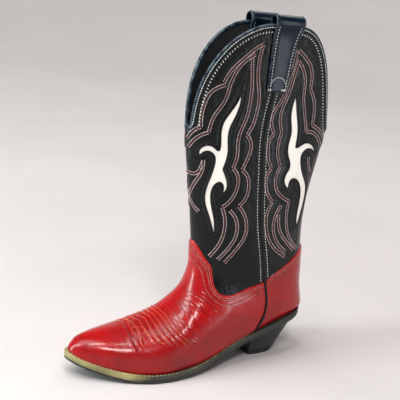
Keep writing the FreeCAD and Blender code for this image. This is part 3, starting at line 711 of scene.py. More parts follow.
class Nodes:
    """Short forms for the node trees below; a value is a number, a colour or a node's output."""

    def __init__(self, name):
        self.material = bpy.data.materials.new(name)
        self.material.use_nodes = True
        self.tree = self.material.node_tree
        self.shader = self.tree.nodes["Principled BSDF"]
        self.place = self.tree.nodes.new("ShaderNodeTexCoord").outputs["Object"]

    def put(self, socket, value):
        if isinstance(value, bpy.types.NodeSocket):
            self.tree.links.new(value, socket)
        else:
            socket.default_value = value

    def node(self, kind, inputs, **settings):
        node = self.tree.nodes.new("ShaderNode" + kind)
        for key, value in settings.items():
            setattr(node, key, value)
        for key, value in inputs.items():
            self.put(node.inputs[key], value)
        return node.outputs

    def noise(self, scale, detail=3.0, rough=0.55, stretch=None):
        place = self.place
        if stretch:
            place = self.node("Mapping", {"Scale": stretch, "Vector": place})["Vector"]
        inputs = {"Scale": scale, "Detail": detail, "Roughness": rough, "Vector": place}
        return self.node("TexNoise", inputs)["Fac"]

    def bands(self, scale, axis, distortion):
        inputs = {"Scale": scale, "Distortion": distortion, "Detail": 2.0, "Vector": self.place}
        return self.node("TexWave", inputs, bands_direction=axis)["Fac"]

    def layer(self, name):
        return self.node("Attribute", {}, attribute_name=name)["Fac"]

    def span(self, value, low, high, to_low=0.0, to_high=1.0):
        inputs = {"From Min": low, "From Max": high, "To Min": to_low, "To Max": to_high, "Value": value}
        return self.node("MapRange", inputs)["Result"]

    def math(self, kind, a, b):
        return self.node("Math", {0: a, 1: b}, operation=kind)[0]

    def mix(self, share, a, b):
        """Mixes two colours; each is a hex code or a node's output."""
        a, b = [linear(c) if isinstance(c, str) else c for c in (a, b)]
        return self.node("Mix", {0: share, 6: a, 7: b}, data_type="RGBA")[2]

    def finish(self, bumps=(), **inputs):
        """Sets the shader; bumps are pairs of a height output and its depth in metres."""
        for height, depth in bumps:
            below = {"Normal": inputs["Normal"]} if "Normal" in inputs else {}
            bump = {"Distance": depth, "Strength": 1.0, "Height": height, **below}
            inputs["Normal"] = self.node("Bump", bump)["Normal"]
        for key, value in inputs.items():
            self.put(self.shader.inputs[key.replace("_", " ")], value)
        return self.material


def leather(name, base, deep, worn, rough, coat, grain=700.0, depth=0.00012, edge=0.5, specular=0.5,
            crumple=0.0006):
    """Grained leather: pebbles, pores, tone that drifts, painted shade that darkens seams, stitch rows and
    creases, lighter worn edges.
    """
    n = Nodes(name)
    drift = n.span(n.noise(22.0, 4.0, 0.6), 0.35, 0.68)
    fine = n.span(n.noise(900.0, 3.0, 0.6), 0.3, 0.7)
    pebble = n.node("TexVoronoi", {"Scale": grain, "Vector": n.place})["Distance"]
    colour = n.mix(n.math("MULTIPLY", drift, 0.45), base, deep)
    colour = n.mix(n.math("MULTIPLY", fine, 0.22), colour, deep)
    # Painted shade: the layer read here darkens creases, troughs beside ridges and pressed stitch rows; on
    # inlays and linings it is a plain tone.
    colour = n.mix(n.math("MULTIPLY", n.span(n.layer("groove_shade_and_tone"), 0.0, 1.0), 0.75), colour, deep)
    scuff = n.math("MULTIPLY", n.layer("edge"), n.span(n.noise(160.0, 3.0, 0.6), 0.4, 0.62))
    colour = n.mix(n.math("MULTIPLY", scuff, edge), colour, worn)
    uneven = n.math("ADD", n.math("MULTIPLY", drift, 0.10), n.math("MULTIPLY", fine, 0.08))
    bumps = [(n.noise(60.0, 3.0, 0.6), crumple), (pebble, depth), (fine, depth * 0.45)]
    return n.finish(bumps, Base_Color=colour, Roughness=n.math("ADD", uneven, rough), Coat_Weight=coat,
                    Coat_Roughness=0.1, Specular_IOR_Level=specular)


def thread_material(name, base, deep, rough=0.6):
    n = Nodes(name)
    twist_and_ply_shade = n.bands(900.0, "DIAGONAL", 1.5)
    # Each stitch gets its own random tone from the layer; the darker stripes along the twist are painted shade
    # between the plies.
    colour = n.mix(n.math("MULTIPLY", twist_and_ply_shade, 0.35), n.mix(n.layer("groove_shade_and_tone"), base, deep), deep)
    rough = n.span(n.noise(700.0), 0.3, 0.7, rough - 0.1, rough + 0.15)
    return n.finish([(twist_and_ply_shade, 0.00012)], Base_Color=colour, Roughness=rough)


def stacked(name, base, deep, rough, lines, depth=0.00015, fade=None, edge=None, metallic=0.0):
    """Cut sole leather or heel stack: fine level lines and fibres, burnished unevenly."""
    n = Nodes(name)
    line = n.bands(lines, "Z", 1.2)
    fibre = n.noise(260.0, 4.0, 0.65, (1.0, 1.0, 6.0))
    drift = n.span(n.noise(35.0, 3.0, 0.6), 0.35, 0.65)
    colour = n.mix(drift, base, deep)
    colour = n.mix(n.math("MULTIPLY", n.span(fibre, 0.4, 0.62), 0.55), colour, deep)
    colour = n.mix(n.math("MULTIPLY", line, 0.3), colour, deep)
    place = n.node("SeparateXYZ", {0: n.place})
    if fade:
        darker = n.mix(drift, fade[0], fade[1])
        colour = n.mix(n.span(place["Y"], fade[2], fade[3]), colour, darker)
    if edge:
        # The upper part of the sole's edge is tan near the toe; its height follows the sole line.
        f = np.linspace(190.0, 274.0, 60)
        square, slope, level = np.polyfit(0.001 * (HEEL_MID - f), 0.001 * sole_height(f), 2).tolist()
        bend = n.math("MULTIPLY", n.math("ADD", n.math("MULTIPLY", place["Y"], square), slope), place["Y"])
        rise = n.math("SUBTRACT", n.math("SUBTRACT", place["Z"], bend), level)
        at_toe = n.math("SUBTRACT", 1.0, n.span(place["Y"], -0.176, -0.158))
        tan_toe_band = n.math("MULTIPLY", n.span(rise, 0.0018, 0.0023), at_toe)
        colour = n.mix(tan_toe_band, colour, n.mix(drift, edge[0], edge[1]))
    rough = n.span(fibre, 0.3, 0.7, rough, rough + 0.2)
    return n.finish([(line, depth), (fibre, depth)], Base_Color=colour, Roughness=rough, Metallic=metallic)


red = leather("red_leather", "#a80308", "#3f0105", "#dc3a20", 0.19, 0.3, 620.0, 0.00006, 0.4, 0.24, 0.0009)
black = leather("black_leather", "#04080a", "#010203", "#202a29", 0.2, 0.1, 560.0, 0.0001, 0.4, 0.2, 0.0022)
navy = leather("navy_leather", "#041426", "#020912", "#76898f", 0.22, 0.12, 600.0, 0.00008, 0.35, 0.15, 0.001)
white = leather("white_leather", "#fbfaf3", "#e9e5d8", "#ffffff", 0.42, 0.10, 800.0, 0.00006, 0.1)
pipe = leather("piping_leather", "#06090b", "#020304", "#27302f", 0.28, 0.1, 700.0, 0.00008, 0.3, 0.2)
lining = leather("lining_leather", "#1b1d20", "#0e1012", "#3a3b3c", 0.6, 0.0, 900.0, 0.0001, 0.3)
pad_cover = leather("pad_leather", "#7d5f43", "#553d2a", "#a28460", 0.6, 0.0, 820.0, 0.0001, 0.3)
welt_leather = stacked("welt_leather", "#b9ae78", "#857b4c", 0.45, 180.0,
                       fade=("#43453a", "#2b2d26", -0.172, -0.152))
sole_leather = stacked("sole_leather", "#2c2d24", "#151712", 0.42, 260.0, edge=("#a2986a", "#6f683f"))
heel_leather = stacked("heel_leather", "#14221d", "#080e0c", 0.34, 230.0)
rubber = stacked("heel_rubber", "#151715", "#0a0b0a", 0.6, 400.0, 0.00008)
cork = stacked("cork", "#a67c4e", "#6f4f2e", 0.8, 90.0, 0.0003)
board = stacked("stiffener_board", "#8d7352", "#6b5539", 0.8, 200.0)
peg_wood = stacked("peg_wood", "#c2a06b", "#94733f", 0.6, 300.0)
steel = stacked("steel", "#8b8d90", "#5f6164", 0.32, 500.0, 0.00003, metallic=1.0)
rose_thread = thread_material("rose_thread", "#f1e4e2", "#cdb4b4")
wine_thread = thread_material("wine_thread", "#5a0a14", "#31050b")
dark_thread = thread_material("dark_thread", "#333a38", "#161a1a")
white_thread = thread_material("white_thread", "#eef1ea", "#c2c9c4")
red_thread = thread_material("red_thread", "#ee8a80", "#c04a48")
amber_thread = thread_material("amber_thread", "#e57c50", "#ae4426")
tan_thread = thread_material("tan_thread", "#c7bd8e", "#8b8158")

for look, nodes in (
        (sole_leather, ["outsole", "heel_rand"]), (welt_leather, ["welt"]), (rubber, ["heel_top_lift"]),
        (heel_leather, ["heel_seat_wedge", "heel_lift_2", "heel_lift_1"]), (cork, ["cork_filler"]),
        (steel, ["steel_shank", "heel_nails"]), (peg_wood, ["shank_pegs"]),
        (board, ["insole_board", "waist_filler", "toe_box", "heel_counter_stiffener", "vamp_interlining"])):
    for node in nodes:
        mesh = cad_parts[node].data
        mesh.materials.clear()
        mesh.materials.append(look)

# ------------------------------------------------------------------ stitch rows
above_vamp = -signed(VAMP_OUTLINE, VIEWS[SHAFT_FACE])
above_counter = -signed(COUNTER_OUTLINE, VIEWS[SHAFT_FACE])
above_foot = np.where(ahead[SHAFT_FACE] > 0, above_vamp, above_counter)
near_upper = make_tree(PLACE, np.where(S_AT > 8.5)[0][::2])


def trimmed(line, normal, field, level):
    """Longest run of a line whose points have the field over a level."""
    if len(line) < 3:
        return line[:0], normal[:0]
    good = np.concatenate([[False], field[near_upper(line)] > level, [False]]).astype(int)
    starts, ends = np.where(np.diff(good) > 0)[0], np.where(np.diff(good) < 0)[0]
    if not len(starts):
        return line[:0], normal[:0]
    longest = np.argmax(ends - starts)
    run = slice(starts[longest], ends[longest])
    return line[run], normal[run]


def shifted_row(line, normal, shift):
    """The same line moved sideways over the surface."""
    return line + np.cross(unit(np.gradient(line, axis=0)), normal) * shift


rose, wine, dark, pale, crimson, tan, amber = [Thread() for _ in range(7)]
twin_lines, dark_lines, hash_lines, seam_lines, vamp_lines, counter_lines = [], [], [], [], [], []
jobs = []
TURNED = math.radians(66.0)


def plan(kept, lines, face, *rows):
    """Notes lines and the rows of stitches along them: thread, shift, pitch, length, width, high, lean."""
    for place, normal in lines:
        if len(place) > 4:
            line, up = resample(place, normal, 0.7, face)
            kept.append(line)
            jobs.append((line, up, rows))


dark_row = (dark, 0.0, 2.0, 1.6, 0.75, 0.55, 0.0)
foot_row = (crimson, 0.0, 2.2, 1.75, 0.75, 0.55, 0.0)
for side in SIDES:
    lines = [trimmed(*locate(row, side, SHAFT_FACE), above_foot, 1.5) for row in TWIN_ROWS]
    plan(twin_lines, lines, SHAFT_FACE, (rose, -1.45, 1.9, 1.5, 0.62, 0.55, 0.0),
         (rose, 1.45, 1.9, 1.5, 0.62, 0.55, 0.0), (wine, 0.0, 2.1, 2.2, 1.5, 0.4, 0.0))
    plan(dark_lines, [locate(row, side, SHAFT_FACE) for row in DARK_ROWS], SHAFT_FACE, dark_row)
for name in in_flame:
    plan(dark_lines, contour(in_flame[name], -3.1, above_foot), SHAFT_FACE, dark_row)
plan(hash_lines, contour(under_top[SHAFT_FACE], 6.6), SHAFT_FACE, (pale, 0.0, 3.3, 2.7, 0.95, 0.8, TURNED))
on_shaft = np.minimum(under_top[SHAFT_FACE] - 4.0, above_foot - 1.0)
for level in (-4.1, 4.4):
    lines = contour(ahead[SHAFT_FACE], level, on_shaft)
    plan(seam_lines, lines, SHAFT_FACE, (pale, 0.0, 3.1, 1.9, 0.9, 0.7, 0.0))
on_vamp = np.minimum(ahead[FOOT_FACE] - 2.5, over_sole[FOOT_FACE] - 4.0)
on_counter = np.minimum(-ahead[FOOT_FACE] - 2.5, over_sole[FOOT_FACE] - 4.0)
for level in (2.8, 4.8, 9.5):
    plan(vamp_lines, contour(in_vamp, level, on_vamp), FOOT_FACE, foot_row)
    if level < 9.0:
        plan(counter_lines, contour(in_counter, level, on_counter), FOOT_FACE, foot_row)
top_ring, top_up = max(contour(under_top[SHAFT_FACE], 0.0), key=lambda pair: len(pair[0]))


# ------------------------------------------------------------------ relief of each leather
def drift(place, seed, size, depth):
    """Slow unevenness of a worn leather: a few crossing waves."""
    random = np.random.default_rng(seed)
    total = np.zeros(len(place))
    for _ in range(7):
        direction = random.normal(size=3)
        direction /= np.linalg.norm(direction)
        rate = 2 * math.pi / (size * random.uniform(0.7, 1.5))
        total += np.sin(place @ direction * rate + random.uniform(0, 6.28))
    return depth * total / 3.5


near_vamp_face = make_tree(PLACE + NORMAL * FOOT_FACE, np.where((S_AT < 12.5) & (np.cos(A_AT) > -0.5))[0])


def snap(points, mirror=False):
    """A line given as x, f, z laid on the vamp's face, with its mirror image on the inner side if asked."""
    line = smooth([(x, HEEL_MID - f, z) for x, f, z in points], 0.6)
    if mirror:
        other = line[::-1] * np.array([-0.93, 1.0, 1.0])
        line = np.concatenate([other[other[:, 0] < line[0][0]], line])
    ids = near_vamp_face(line)
    line = PLACE[ids] + NORMAL[ids] * FOOT_FACE
    for _ in range(12):
        line[1:-1] = 0.25 * line[:-2] + 0.5 * line[1:-1] + 0.25 * line[2:]
    return line


def hump(distance, middle, width):
    return np.exp(-((distance - middle) / width) ** 2)


toe_lines = [snap(rib, True) for rib in RIBS[:7]]
near_rib = Near(toe_lines + [snap(rib) for rib in RIBS[7:]])
for loop in MEDALLION:
    toe_lines += [snap(loop), snap([(-0.93 * x, f, z) for x, f, z in loop])]
for line in toe_lines:
    if len(line) > 5:
        jobs.append((line, NORMAL[near_vamp_face(line)], [(amber, 0.0, 1.7, 1.35, 0.5, 0.45, 0.0)]))
near_soft = Near([snap(crease) for crease in SOFT_CREASES])
near_toe = Near([snap(TOE_CREASE)])
near_twin, near_dark, near_rows = Near(twin_lines), Near(dark_lines), Near(seam_lines + hash_lines)
near_vamp, near_counter = Near(vamp_lines), Near(counter_lines)
near_top = Near([top_ring + top_up * SHAFT_FACE])


def vamp_relief(at):
    lift = drift(at, 3, 60.0, 0.35) + drift(at, 5, 22.0, 0.10)
    low = over_sole_of(HEEL_MID - at[:, 1], at[:, 2])
    lift += 0.9 * hump(low, 5.0, 4.0)
    fade = np.clip((low - 8.0) / 12.0, 0.0, 1.0)
    rib, strong = near_rib(at)
    strong = fade * np.clip(1.6 * strong, 0.0, 1.0)
    lift += strong * (0.36 * hump(rib, 0.0, 1.2) - 0.26 * hump(rib, 2.2, 0.9))
    soft, firm = near_soft(at)
    lift += firm * (0.22 * hump(soft, 1.8, 1.1) - 0.36 * hump(soft, 0.0, 0.75))
    toe, sure = near_toe(at)
    lift += np.clip(1.5 * sure, 0, 1) * (0.35 * hump(toe, 3.0, 1.6) - 0.7 * hump(toe, 0.0, 1.1))
    rows, _ = near_vamp(at)
    lift -= 0.25 * hump(rows, 0.0, 0.75)
    # The second value is painted shade: darker in the stitch grooves, the toe crease, the troughs beside the
    # ribs and the flex creases.
    groove_shade_and_tone = hump(rows, 0.0, 0.8) + 0.9 * sure * hump(toe, 0.0, 0.9) + 0.5 * strong * hump(rib, 2.3, 0.9)
    return np.maximum(lift, -1.1), np.clip(groove_shade_and_tone + 0.6 * firm * hump(soft, 0.0, 0.8), 0.0, 1.0)


def counter_relief(at):
    low = over_sole_of(HEEL_MID - at[:, 1], at[:, 2])
    lift = drift(at, 9, 45.0, 0.3) + 0.6 * hump(low, 5.0, 4.0)
    rows, _ = near_counter(at)
    # The second value is painted shade in the pressed stitch grooves.
    return lift - 0.25 * hump(rows, 0.0, 0.75), hump(rows, 0.0, 0.8)


def shaft_relief(at):
    lift = drift(at, 11, 75.0, 0.4) + drift(at, 12, 26.0, 0.12)
    twin, _ = near_twin(at)
    lift += 0.5 * hump(twin, 0.0, 1.9) - 0.3 * hump(twin, 3.0, 1.0)
    low, _ = near_dark(at)
    lift += 0.25 * hump(low, 2.2, 1.1) - 0.3 * hump(low, 0.0, 0.8)
    rows, _ = near_rows(at)
    lift += 0.2 * hump(rows, 2.2, 1.2) - 0.35 * hump(rows, 0.0, 0.9)
    top, _ = near_top(at)
    lift += 0.5 * hump(top, 3.9, 1.6) + 0.9 * hump(top, 14.5, 5.5)
    # The second value is painted shade in the grooves of the stitch rows and in the troughs beside the twin
    # ridges.
    groove_shade_and_tone = hump(low, 0.0, 0.9) + hump(rows, 0.0, 0.9) + 0.8 * hump(twin, 3.0, 0.9)
    return np.maximum(lift, -0.9), np.clip(groove_shade_and_tone, 0.0, 1.0)


def inlay_relief(at):
    return drift(at, 31, 30.0, 0.12), 0.3 + 0.0 * at[:, 0]


def lining_relief(at):
    return drift(at, 21, 60.0, 0.3), 0.5 + 0.5 * np.sin(at[:, 2] * 0.05)


for line, up, rows in jobs:
    if any(line is other for other in vamp_lines + toe_lines):
        relief = vamp_relief
    elif any(line is other for other in counter_lines):
        relief = counter_relief
    else:
        relief = shaft_relief
    for thread, shift, pitch, length, width, high, lean in rows:
        moved = shifted_row(line, up, shift) if shift else line
        moved = moved + up * (relief(moved)[0] + 0.12)[:, None]
        thread.row(moved, up, pitch, length, width, high, lean)


# ------------------------------------------------------------------ leathers
vamp_field = np.minimum(np.minimum(over_sole[FOOT_FACE], ahead[FOOT_FACE] - 1.0), in_vamp)
vamp = leather_piece("vamp_leather", vamp_field, FOOT_FACE, SHAFT_FACE - 0.2, 0.9, vamp_relief, red)
finish_piece(vamp, ["vamp"])
counter_field = np.minimum(np.minimum(over_sole[FOOT_FACE], -ahead[FOOT_FACE] - 1.0), in_counter)
counter = leather_piece("counter_leather", counter_field, FOOT_FACE, SHAFT_FACE - 0.2, 0.9, counter_relief, red)
finish_piece(counter, ["heel_counter_cover"])
for name, sign, clear in (("front", 1.0, above_vamp), ("back", -1.0, above_counter)):
    field = np.minimum(np.minimum(sign * ahead[SHAFT_FACE] - 0.9, under_top[SHAFT_FACE]), clear + 4.0)
    field = np.minimum(field, -in_flame[name])
    panel = leather_piece("shaft_" + name, field, SHAFT_FACE, 1.0, 0.6, shaft_relief, black)
    finish_piece(panel, [name + "_shaft_panel"])
    for side in SIDES:
        node = "inlay_" + name + "_" + SIDES[side]
        window = np.minimum(in_flame[name] + 0.9, PLACE[:, 0] * side * 2.0)
        inlay = leather_piece(node + "_leather", window, 2.1, 1.0, 1.3, inlay_relief, white)
        finish_piece(inlay, [node])

for name, sign, foot in (("front", 1.0, "vamp_lining"), ("back", -1.0, "heel_lining")):
    field = np.minimum(np.minimum(over_sole[0.0] - 2.0, under_top[0.0] - 0.2), sign * ahead[0.0] + 0.05)
    skin = leather_piece("lining_" + name, field, 0.0, 0.9, 0.3, lining_relief, lining, inward=True)
    finish_piece(skin, [name + "_shaft_lining", foot])

# ------------------------------------------------------------------ rims, piping and binding
points, faces, count = [], [], 0
for name in in_flame:
    for place, normal in contour(in_flame[name], -0.75, above_foot):
        p, q = sweep(*resample(place, normal, 0.8, SHAFT_FACE + 0.1), round_profile(0.95, 0.75, 10))
        points.append(p)
        faces += [[v + count for v in face] for face in q]
        count += len(p)
finish_piece(build_mesh("inlay_rims", np.concatenate(points), faces, pipe, 50.0))

on_upper = np.minimum(under_top[SHAFT_FACE] + 0.5, over_sole[FOOT_FACE] - 2.0)
for side in SIDES:
    lines = contour(ahead[SHAFT_FACE], 0.0, np.minimum(on_upper, PLACE[:, 0] * side))
    line, up = resample(*max(lines, key=lambda pair: len(pair[0])), 1.0, 0.0)
    if line[0][2] > line[-1][2]:
        line, up = line[::-1], up[::-1]
    high = 1.0 / (1.0 + np.exp((line[:, 2] - 91.0) / 1.2))
    off = SHAFT_FACE - 0.25 + (FOOT_FACE - SHAFT_FACE + 0.15) * high
    p, q = sweep(line + up * off[:, None], up, round_profile(1.5, 1.25, 14))
    plain = np.zeros(len(p))
    piping = build_mesh("piping_" + SIDES[side], p, q, pipe, 60.0, {"edge": plain, "groove_shade_and_tone": plain})
    finish_piece(piping, ["side_piping_" + SIDES[side]])

ring, up = resample(top_ring, top_up, 1.0, 0.0)
ring[-1], up[-1] = ring[0], up[0]
profile = [  # side, up and worn share round the folded strip
    (-3.1, 2.45, 0.1), (-2.2, 3.05, 0.2), (-1.2, 3.2, 0.3), (-0.1, 3.15, 0.5), (0.7, 2.75, 0.9),
    (1.15, 2.0, 1), (1.25, 1.15, 1), (1.15, 0.3, 1), (0.7, -0.45, 0.9), (-0.1, -0.85, 0.5),
    (-1.4, -0.9, 0.2), (-2.4, -0.75, 0.1), (-3.1, -0.1, 0), (-2.6, 0.6, 0), (-2.6, 1.9, 0),
]
upward = 1.0 if np.cross(np.gradient(ring, axis=0), up)[:, 2].mean() > 0 else -1.0
p, q = sweep(ring, up, [(upward * a, b) for a, b, _ in profile], closed=True)
if upward > 0:
    q = [face[::-1] for face in q]
worn = np.tile([c for _, _, c in profile], len(p) // len(profile))
binding = build_mesh("top_edge_binding", p, q, navy, 60.0, {"edge": worn, "groove_shade_and_tone": 0.0 * worn})
finish_piece(binding, ["top_binding"])
edge_thread = Thread()
edge_thread.row(shifted_row(ring + up * 3.1, up, -2.0 * upward), up, 2.6, 2.1, 0.7, 0.5)

# ------------------------------------------------------------------ pull straps
def strap_edges(z):
    front = np.interp(z, [291.0, 356.0, 380.0], [90.3, 92.3, 92.8])
    back = np.interp(z, [291.0, 331.0, 356.0, 380.0], [66.8, 63.0, 57.3, 56.5])
    return front, back


def strap_sheet(side):
    """Middle sheet of a pull strap: up the outside, over in a loop and down the inside."""
    across = np.linspace(-1.0, 1.0, 25)
    rise = np.linspace(290.0, 349.0, 50)
    front, back = strap_edges(rise)
    swell = np.clip((rise - 338.0) / 11.0, 0.0, 1.0)[:, None] ** 2
    end_front, end_back = strap_edges(357.0)
    columns = []
    for v in across:
        view = np.stack([0.5 * (front + back) - 0.5 * v * (front - back), rise], -1)
        place, normal = place_on(view, side, SHAFT_FACE)
        outside = place + normal * (SHAFT_FACE + 1.15 + 0.9 * swell)
        place, normal = place_on(view, side, 0.0)
        inside = place - normal * (1.15 + 0.7 * swell)
        y = HEEL_MID - (0.5 * (end_front + end_back) - 0.5 * v * (end_front - end_back))
        turn = np.linspace(0.12, math.pi - 0.12, 9)
        over = np.stack([side * (22.2 + 5.3 * np.cos(turn)), np.full(9, y), 358.2 + 6.2 * np.sin(turn)], -1)
        rough = np.concatenate([outside, over, inside[::-1]])
        run = run_of(rough)
        columns.append(natural(run, rough)(np.linspace(0.0, run[-1], 170)))
    sheet = np.stack(columns, 1)
    normal = unit(np.cross(np.gradient(sheet, axis=0), np.gradient(sheet, axis=1)))
    return across, sheet, normal * np.sign(normal[20, 12, 0] * side)


for side in SIDES:
    across, sheet, normal = strap_sheet(side)
    count, wide = sheet.shape[:2]
    thick = 0.22 + 0.86 * np.sqrt(np.clip(1.0 - np.abs(across) ** 12, 0.0, 1.0))
    thick += 0.5 * hump(np.abs(across), 0.88, 0.085) - 0.16 * hump(np.abs(across), 0.70, 0.07)
    run = np.linspace(0.0, 1.0, count)
    taper = np.clip(np.minimum(run, 1.0 - run) / 0.006, 0.25, 1.0) ** 0.5
    wave = 1.0 + 0.05 * np.sin(run * 61.0) + 0.04 * np.sin(run * 23.0)
    height = (thick[None, :] * (taper * wave)[:, None])[..., None]
    top = sheet + normal * height
    rings = np.concatenate([top, (sheet - normal * 0.8 * height)[:, ::-1]], axis=1)
    side_step = np.cross(top[21, 12] - top[20, 12], top[20, 13] - top[20, 12])
    faces = tube_faces(count, 2 * wide, flip=bool(side_step @ normal[20, 12] <= 0))
    edge = np.tile(np.concatenate([np.exp(-(1 - np.abs(across)) / 0.1), np.zeros(wide)]), count)
    # Painted shade in the groove along each stitch row.
    groove_shade_and_tone = np.tile(np.concatenate([hump(np.abs(across), 0.70, 0.05), np.zeros(wide)]), count)
    node = "pull_strap_" + SIDES[side]
    layers = {"edge": edge, "groove_shade_and_tone": groove_shade_and_tone}
    strap = build_mesh(node + "_leather", rings.reshape(-1, 3), faces, navy, 60.0, layers)
    finish_piece(strap, [node])
    for column in (3, 21):
        line = top[2:-2, column] - normal[2:-2, column] * 0.05
        edge_thread.row(line, normal[2:-2, column], 3.0, 1.9, 0.85, 0.6)
    arc = [(89.0, 294.0), (86.5, 301.0), (80.0, 305.5), (72.5, 303.0), (68.0, 295.0)]
    place, up = place_on(smooth(arc, 0.8), side, SHAFT_FACE)
    edge_thread.row(place + up * (SHAFT_FACE + 2.15), up, 2.7, 1.8, 0.85, 0.6)
    for start, end in ((90.0, 86.0), (74.5, 67.3)):
        for z in (291.8, 292.9):
            line = np.stack([np.linspace(start, end, 12), np.full(12, z)], -1)
            place, up = place_on(line, side, SHAFT_FACE)
            edge_thread.row(place + up * (SHAFT_FACE + 2.0), up, 1.1, 1.5, 0.8, 0.8, math.radians(75.0))

# ------------------------------------------------------------------ inside the foot
ring_places = max(contour(over_sole[0.0], 5.5), key=lambda pair: len(pair[0]))[0]
ring_f = HEEL_MID - ring_places[:, 1]


def half_width(f, side):
    picked = ring_places[:, 0] * side > 0
    order = np.argsort(ring_f[picked])
    return np.interp(f, ring_f[picked][order], np.abs(ring_places[picked, 0])[order])


def lens(name, f_low, f_high, share, base, crown, under, material, squareness):
    """A closed, crowned pad that lies on the insole line."""
    along = 0.5 - 0.5 * np.cos(np.linspace(0.0, math.pi, 90))
    f = f_low + (f_high - f_low) * along
    t = np.sin(np.linspace(-0.5 * math.pi, 0.5 * math.pi, 41))
    end = np.clip(1.0 - np.abs(2.0 * along - 1.0) ** squareness, 0.0, 1.0) ** 0.5
    wide_out, wide_in = half_width(f, 1) * share * end, half_width(f, -1) * share * end
    x = np.where(t[None, :] > 0, t[None, :] * wide_out[:, None], t[None, :] * wide_in[:, None])
    swell = (np.clip(1.0 - np.abs(t) ** 8, 0, 1)[None, :] * np.clip(end, 0, 1)[:, None]) ** 0.6
    floor_line = sole_height(f)[:, None]
    high = floor_line + base + crown * swell + 0.12 * np.sin(x * 0.35) * np.sin(f[:, None] * 0.22)
    low = floor_line + base - under + 0.0 * x
    y = HEEL_MID - f[:, None] + 0.0 * x
    top = np.stack([x, y, np.maximum(high, low + 0.05)], -1)
    bottom = np.stack([x, y, low], -1)[:, ::-1]
    rings = np.concatenate([top, bottom], axis=1)
    faces = tube_faces(len(f), rings.shape[1], flip=True)[:-2]
    edge = np.tile(np.concatenate([np.exp(-(1 - np.abs(t)) / 0.08), np.zeros(len(t))]), len(f))
    # The pad's rim is lighter where worn and darker by painted shade where it drops to the insole.
    return build_mesh(name, rings.reshape(-1, 3), faces, material, 60.0, {"edge": edge, "groove_shade_and_tone": 0.3 * edge})


sock = lens("sock_leather", 5.4, 264.5, 0.985, 9.4, 0.6, 0.5, lining, 40)
finish_piece(sock, ["sock_lining"])
pad = lens("heel_cushion", 9.5, 69.0, 0.93, 10.2, 2.2, 0.15, pad_cover, 5)
finish_piece(pad, ["heel_pad"])

# ------------------------------------------------------------------ thread on the welt
outline = np.array(SOLE_OUTLINE + SOLE_OUTLINE[:3], float)
run = run_of(outline)
around = natural(run, outline)(np.linspace(run[1], run[-2], 1400))
along = unit(np.gradient(around, axis=0))
inward = np.stack([along[:, 1], -along[:, 0]], -1)
inward *= np.sign(np.sum(inward * (np.array([140.0, 0.0]) - around), axis=1).mean())
around = around + inward * 1.9
around = np.roll(around, -int(np.argmax(around[:, 0] <= 78.0)), axis=0)
around = around[around[:, 0] > 78.0]
line = np.stack([around[:, 1], HEEL_MID - around[:, 0], sole_height(around[:, 0]) + OUTSOLE + WELT], -1)
tan.row(line, np.tile([0.0, 0.0, 1.0], (len(line), 1)), 4.2, 3.1, 1.15, 0.9)

for name, thread, material, slot, nodes in (
        ("twin_row_stitching", rose, rose_thread, "pale_thread", ()),
        ("scallop_cord", wine, wine_thread, "red_leather", ()),
        ("low_row_stitching", dark, dark_thread, "black_leather", ()),
        ("seam_stitching", pale, white_thread, "pale_thread", ()),
        ("strap_and_edge_stitching", edge_thread, white_thread, "pale_thread", ()),
        ("foot_stitching", crimson, red_thread, "red_leather", ()),
        ("toe_stitching", amber, amber_thread, "red_leather", ()),
        ("welt_thread", tan, tan_thread, "pale_thread", ("welt_stitching",))):
    finish_piece(thread.build(name, material), list(nodes))

# ------------------------------------------------------------------ floor, light and camera
n = Nodes("floor_surface")
tone = n.span(n.noise(3.0, 3.0), 0.3, 0.7)
radius = n.node("VectorMath", {0: n.place}, operation="LENGTH")["Value"]
# Painted shade: the floor is darker within 0.3 m of the boot and lightens out to 2 m, damping the lamps' bright
# pool round the boot.
colour = n.mix(n.span(radius, 0.3, 2.0), n.mix(tone, "#bab4b3", "#c2bbba"), n.mix(tone, "#f1eceb", "#f7f2f1"))
n.finish(Base_Color=colour, Roughness=n.span(n.noise(40.0), 0.3, 0.7, 0.5, 0.62))
rings = [(r, 0.0) for r in (1.0, 60.0, 150.0, 350.0, 800.0, 1600.0, 2400.0)]
rings += [(2400.0 + 2600.0 * math.sin(t), 2600.0 * (1.0 - math.cos(t))) for t in np.linspace(0.1, 1.5, 15)]
spokes = np.linspace(0.0, 2.0 * math.pi, 72, endpoint=False)
drop = cad_low[2] * 1000.0 - 0.2
floor_points = [(r * math.cos(t), r * math.sin(t), z + drop) for r, z in rings for t in spokes]
floor = build_mesh("floor", floor_points, tube_faces(len(rings), 72)[:-1], n.material, 60.0)
floor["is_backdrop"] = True

world = bpy.data.worlds.new("studio")
bpy.context.scene.world = world
world.use_nodes = True
background = world.node_tree.nodes["Background"]
background.inputs["Color"].default_value = linear("#f3e9e8")
background.inputs["Strength"].default_value = 0.13


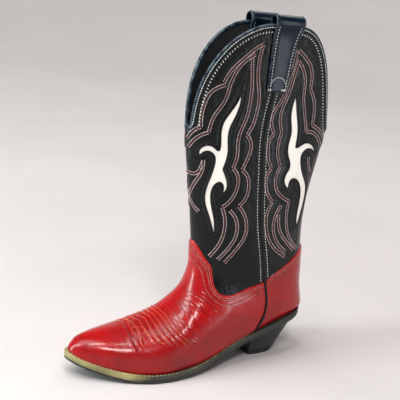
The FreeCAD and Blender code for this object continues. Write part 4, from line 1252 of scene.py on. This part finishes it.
def lamp(name, azimuth, elevation, distance, size, power, colour, target=(0.0, -0.05, 0.16)):
    light = bpy.data.lights.new(name, "AREA")
    light.shape = "RECTANGLE"
    light.size, light.size_y = size
    light.energy = power
    light.color = colour
    obj = bpy.data.objects.new(name, light)
    a, e = math.radians(azimuth), math.radians(elevation)
    back = Vector((math.sin(a) * math.cos(e), -math.cos(a) * math.cos(e), math.sin(e)))
    obj.location = Vector(target) + back * distance
    obj.rotation_mode = "QUATERNION"
    obj.rotation_quaternion = back.to_track_quat("Z", "Y")
    bpy.context.scene.collection.objects.link(obj)


lamp("key_light", -8.0, 40.0, 1.5, (0.4, 0.7), 13.0, (0.95, 1.0, 1.0))
lamp("front_strip", -14.0, 8.0, 1.3, (0.2, 0.9), 13.0, (0.78, 1.0, 0.97))
lamp("side_light", 125.0, 8.0, 1.5, (0.16, 0.9), 4.0, (0.88, 0.97, 1.0))
lamp("back_light", 215.0, 50.0, 1.6, (0.9, 0.6), 6.0, (1.0, 0.99, 0.98))
lamp("instep_light", 66.0, 53.0, 1.5, (0.26, 0.36), 11.0, (1.0, 0.97, 0.98), (0.03, -0.09, 0.06))
lamp("toe_light", 40.0, 82.0, 1.5, (0.2, 0.5), 7.0, (1.0, 0.98, 0.97), (0.0, -0.17, 0.04))
sky = bpy.data.objects.new("sky_light", bpy.data.lights.new("sky_light", "SUN"))
sky.data.energy = 1.3
sky.data.angle = math.radians(35.0)
sky.rotation_euler = (math.radians(14.0), math.radians(-16.0), 0.0)
bpy.context.scene.collection.objects.link(sky)

turn, tip, tilt = math.radians(58.7), math.radians(15.3), math.radians(-6.3)
back = np.array([math.sin(turn) * math.cos(tip), -math.cos(turn) * math.cos(tip), math.sin(tip)])
right = np.array([math.cos(turn), math.sin(turn), 0.0])
up = np.cross(back, right)
right_t = right * math.cos(tilt) - up * math.sin(tilt)
up_t = right * math.sin(tilt) + up * math.cos(tilt)
camera = bpy.data.objects.new("camera", bpy.data.cameras.new("camera"))
camera.data.lens = 69.1
camera.data.sensor_width = 36.0
camera.data.clip_start, camera.data.clip_end = 0.02, 30.0
matrix = Matrix.Identity(4)
for k in range(3):
    matrix[k][0], matrix[k][1], matrix[k][2] = right_t[k], up_t[k], back[k]
matrix[0][3], matrix[1][3], matrix[2][3] = 0.6456, -0.4842, 0.381
camera.matrix_world = matrix
bpy.context.scene.collection.objects.link(camera)
bpy.context.scene.camera = camera
bpy.context.scene.view_settings.view_transform = "Standard"

low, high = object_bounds()
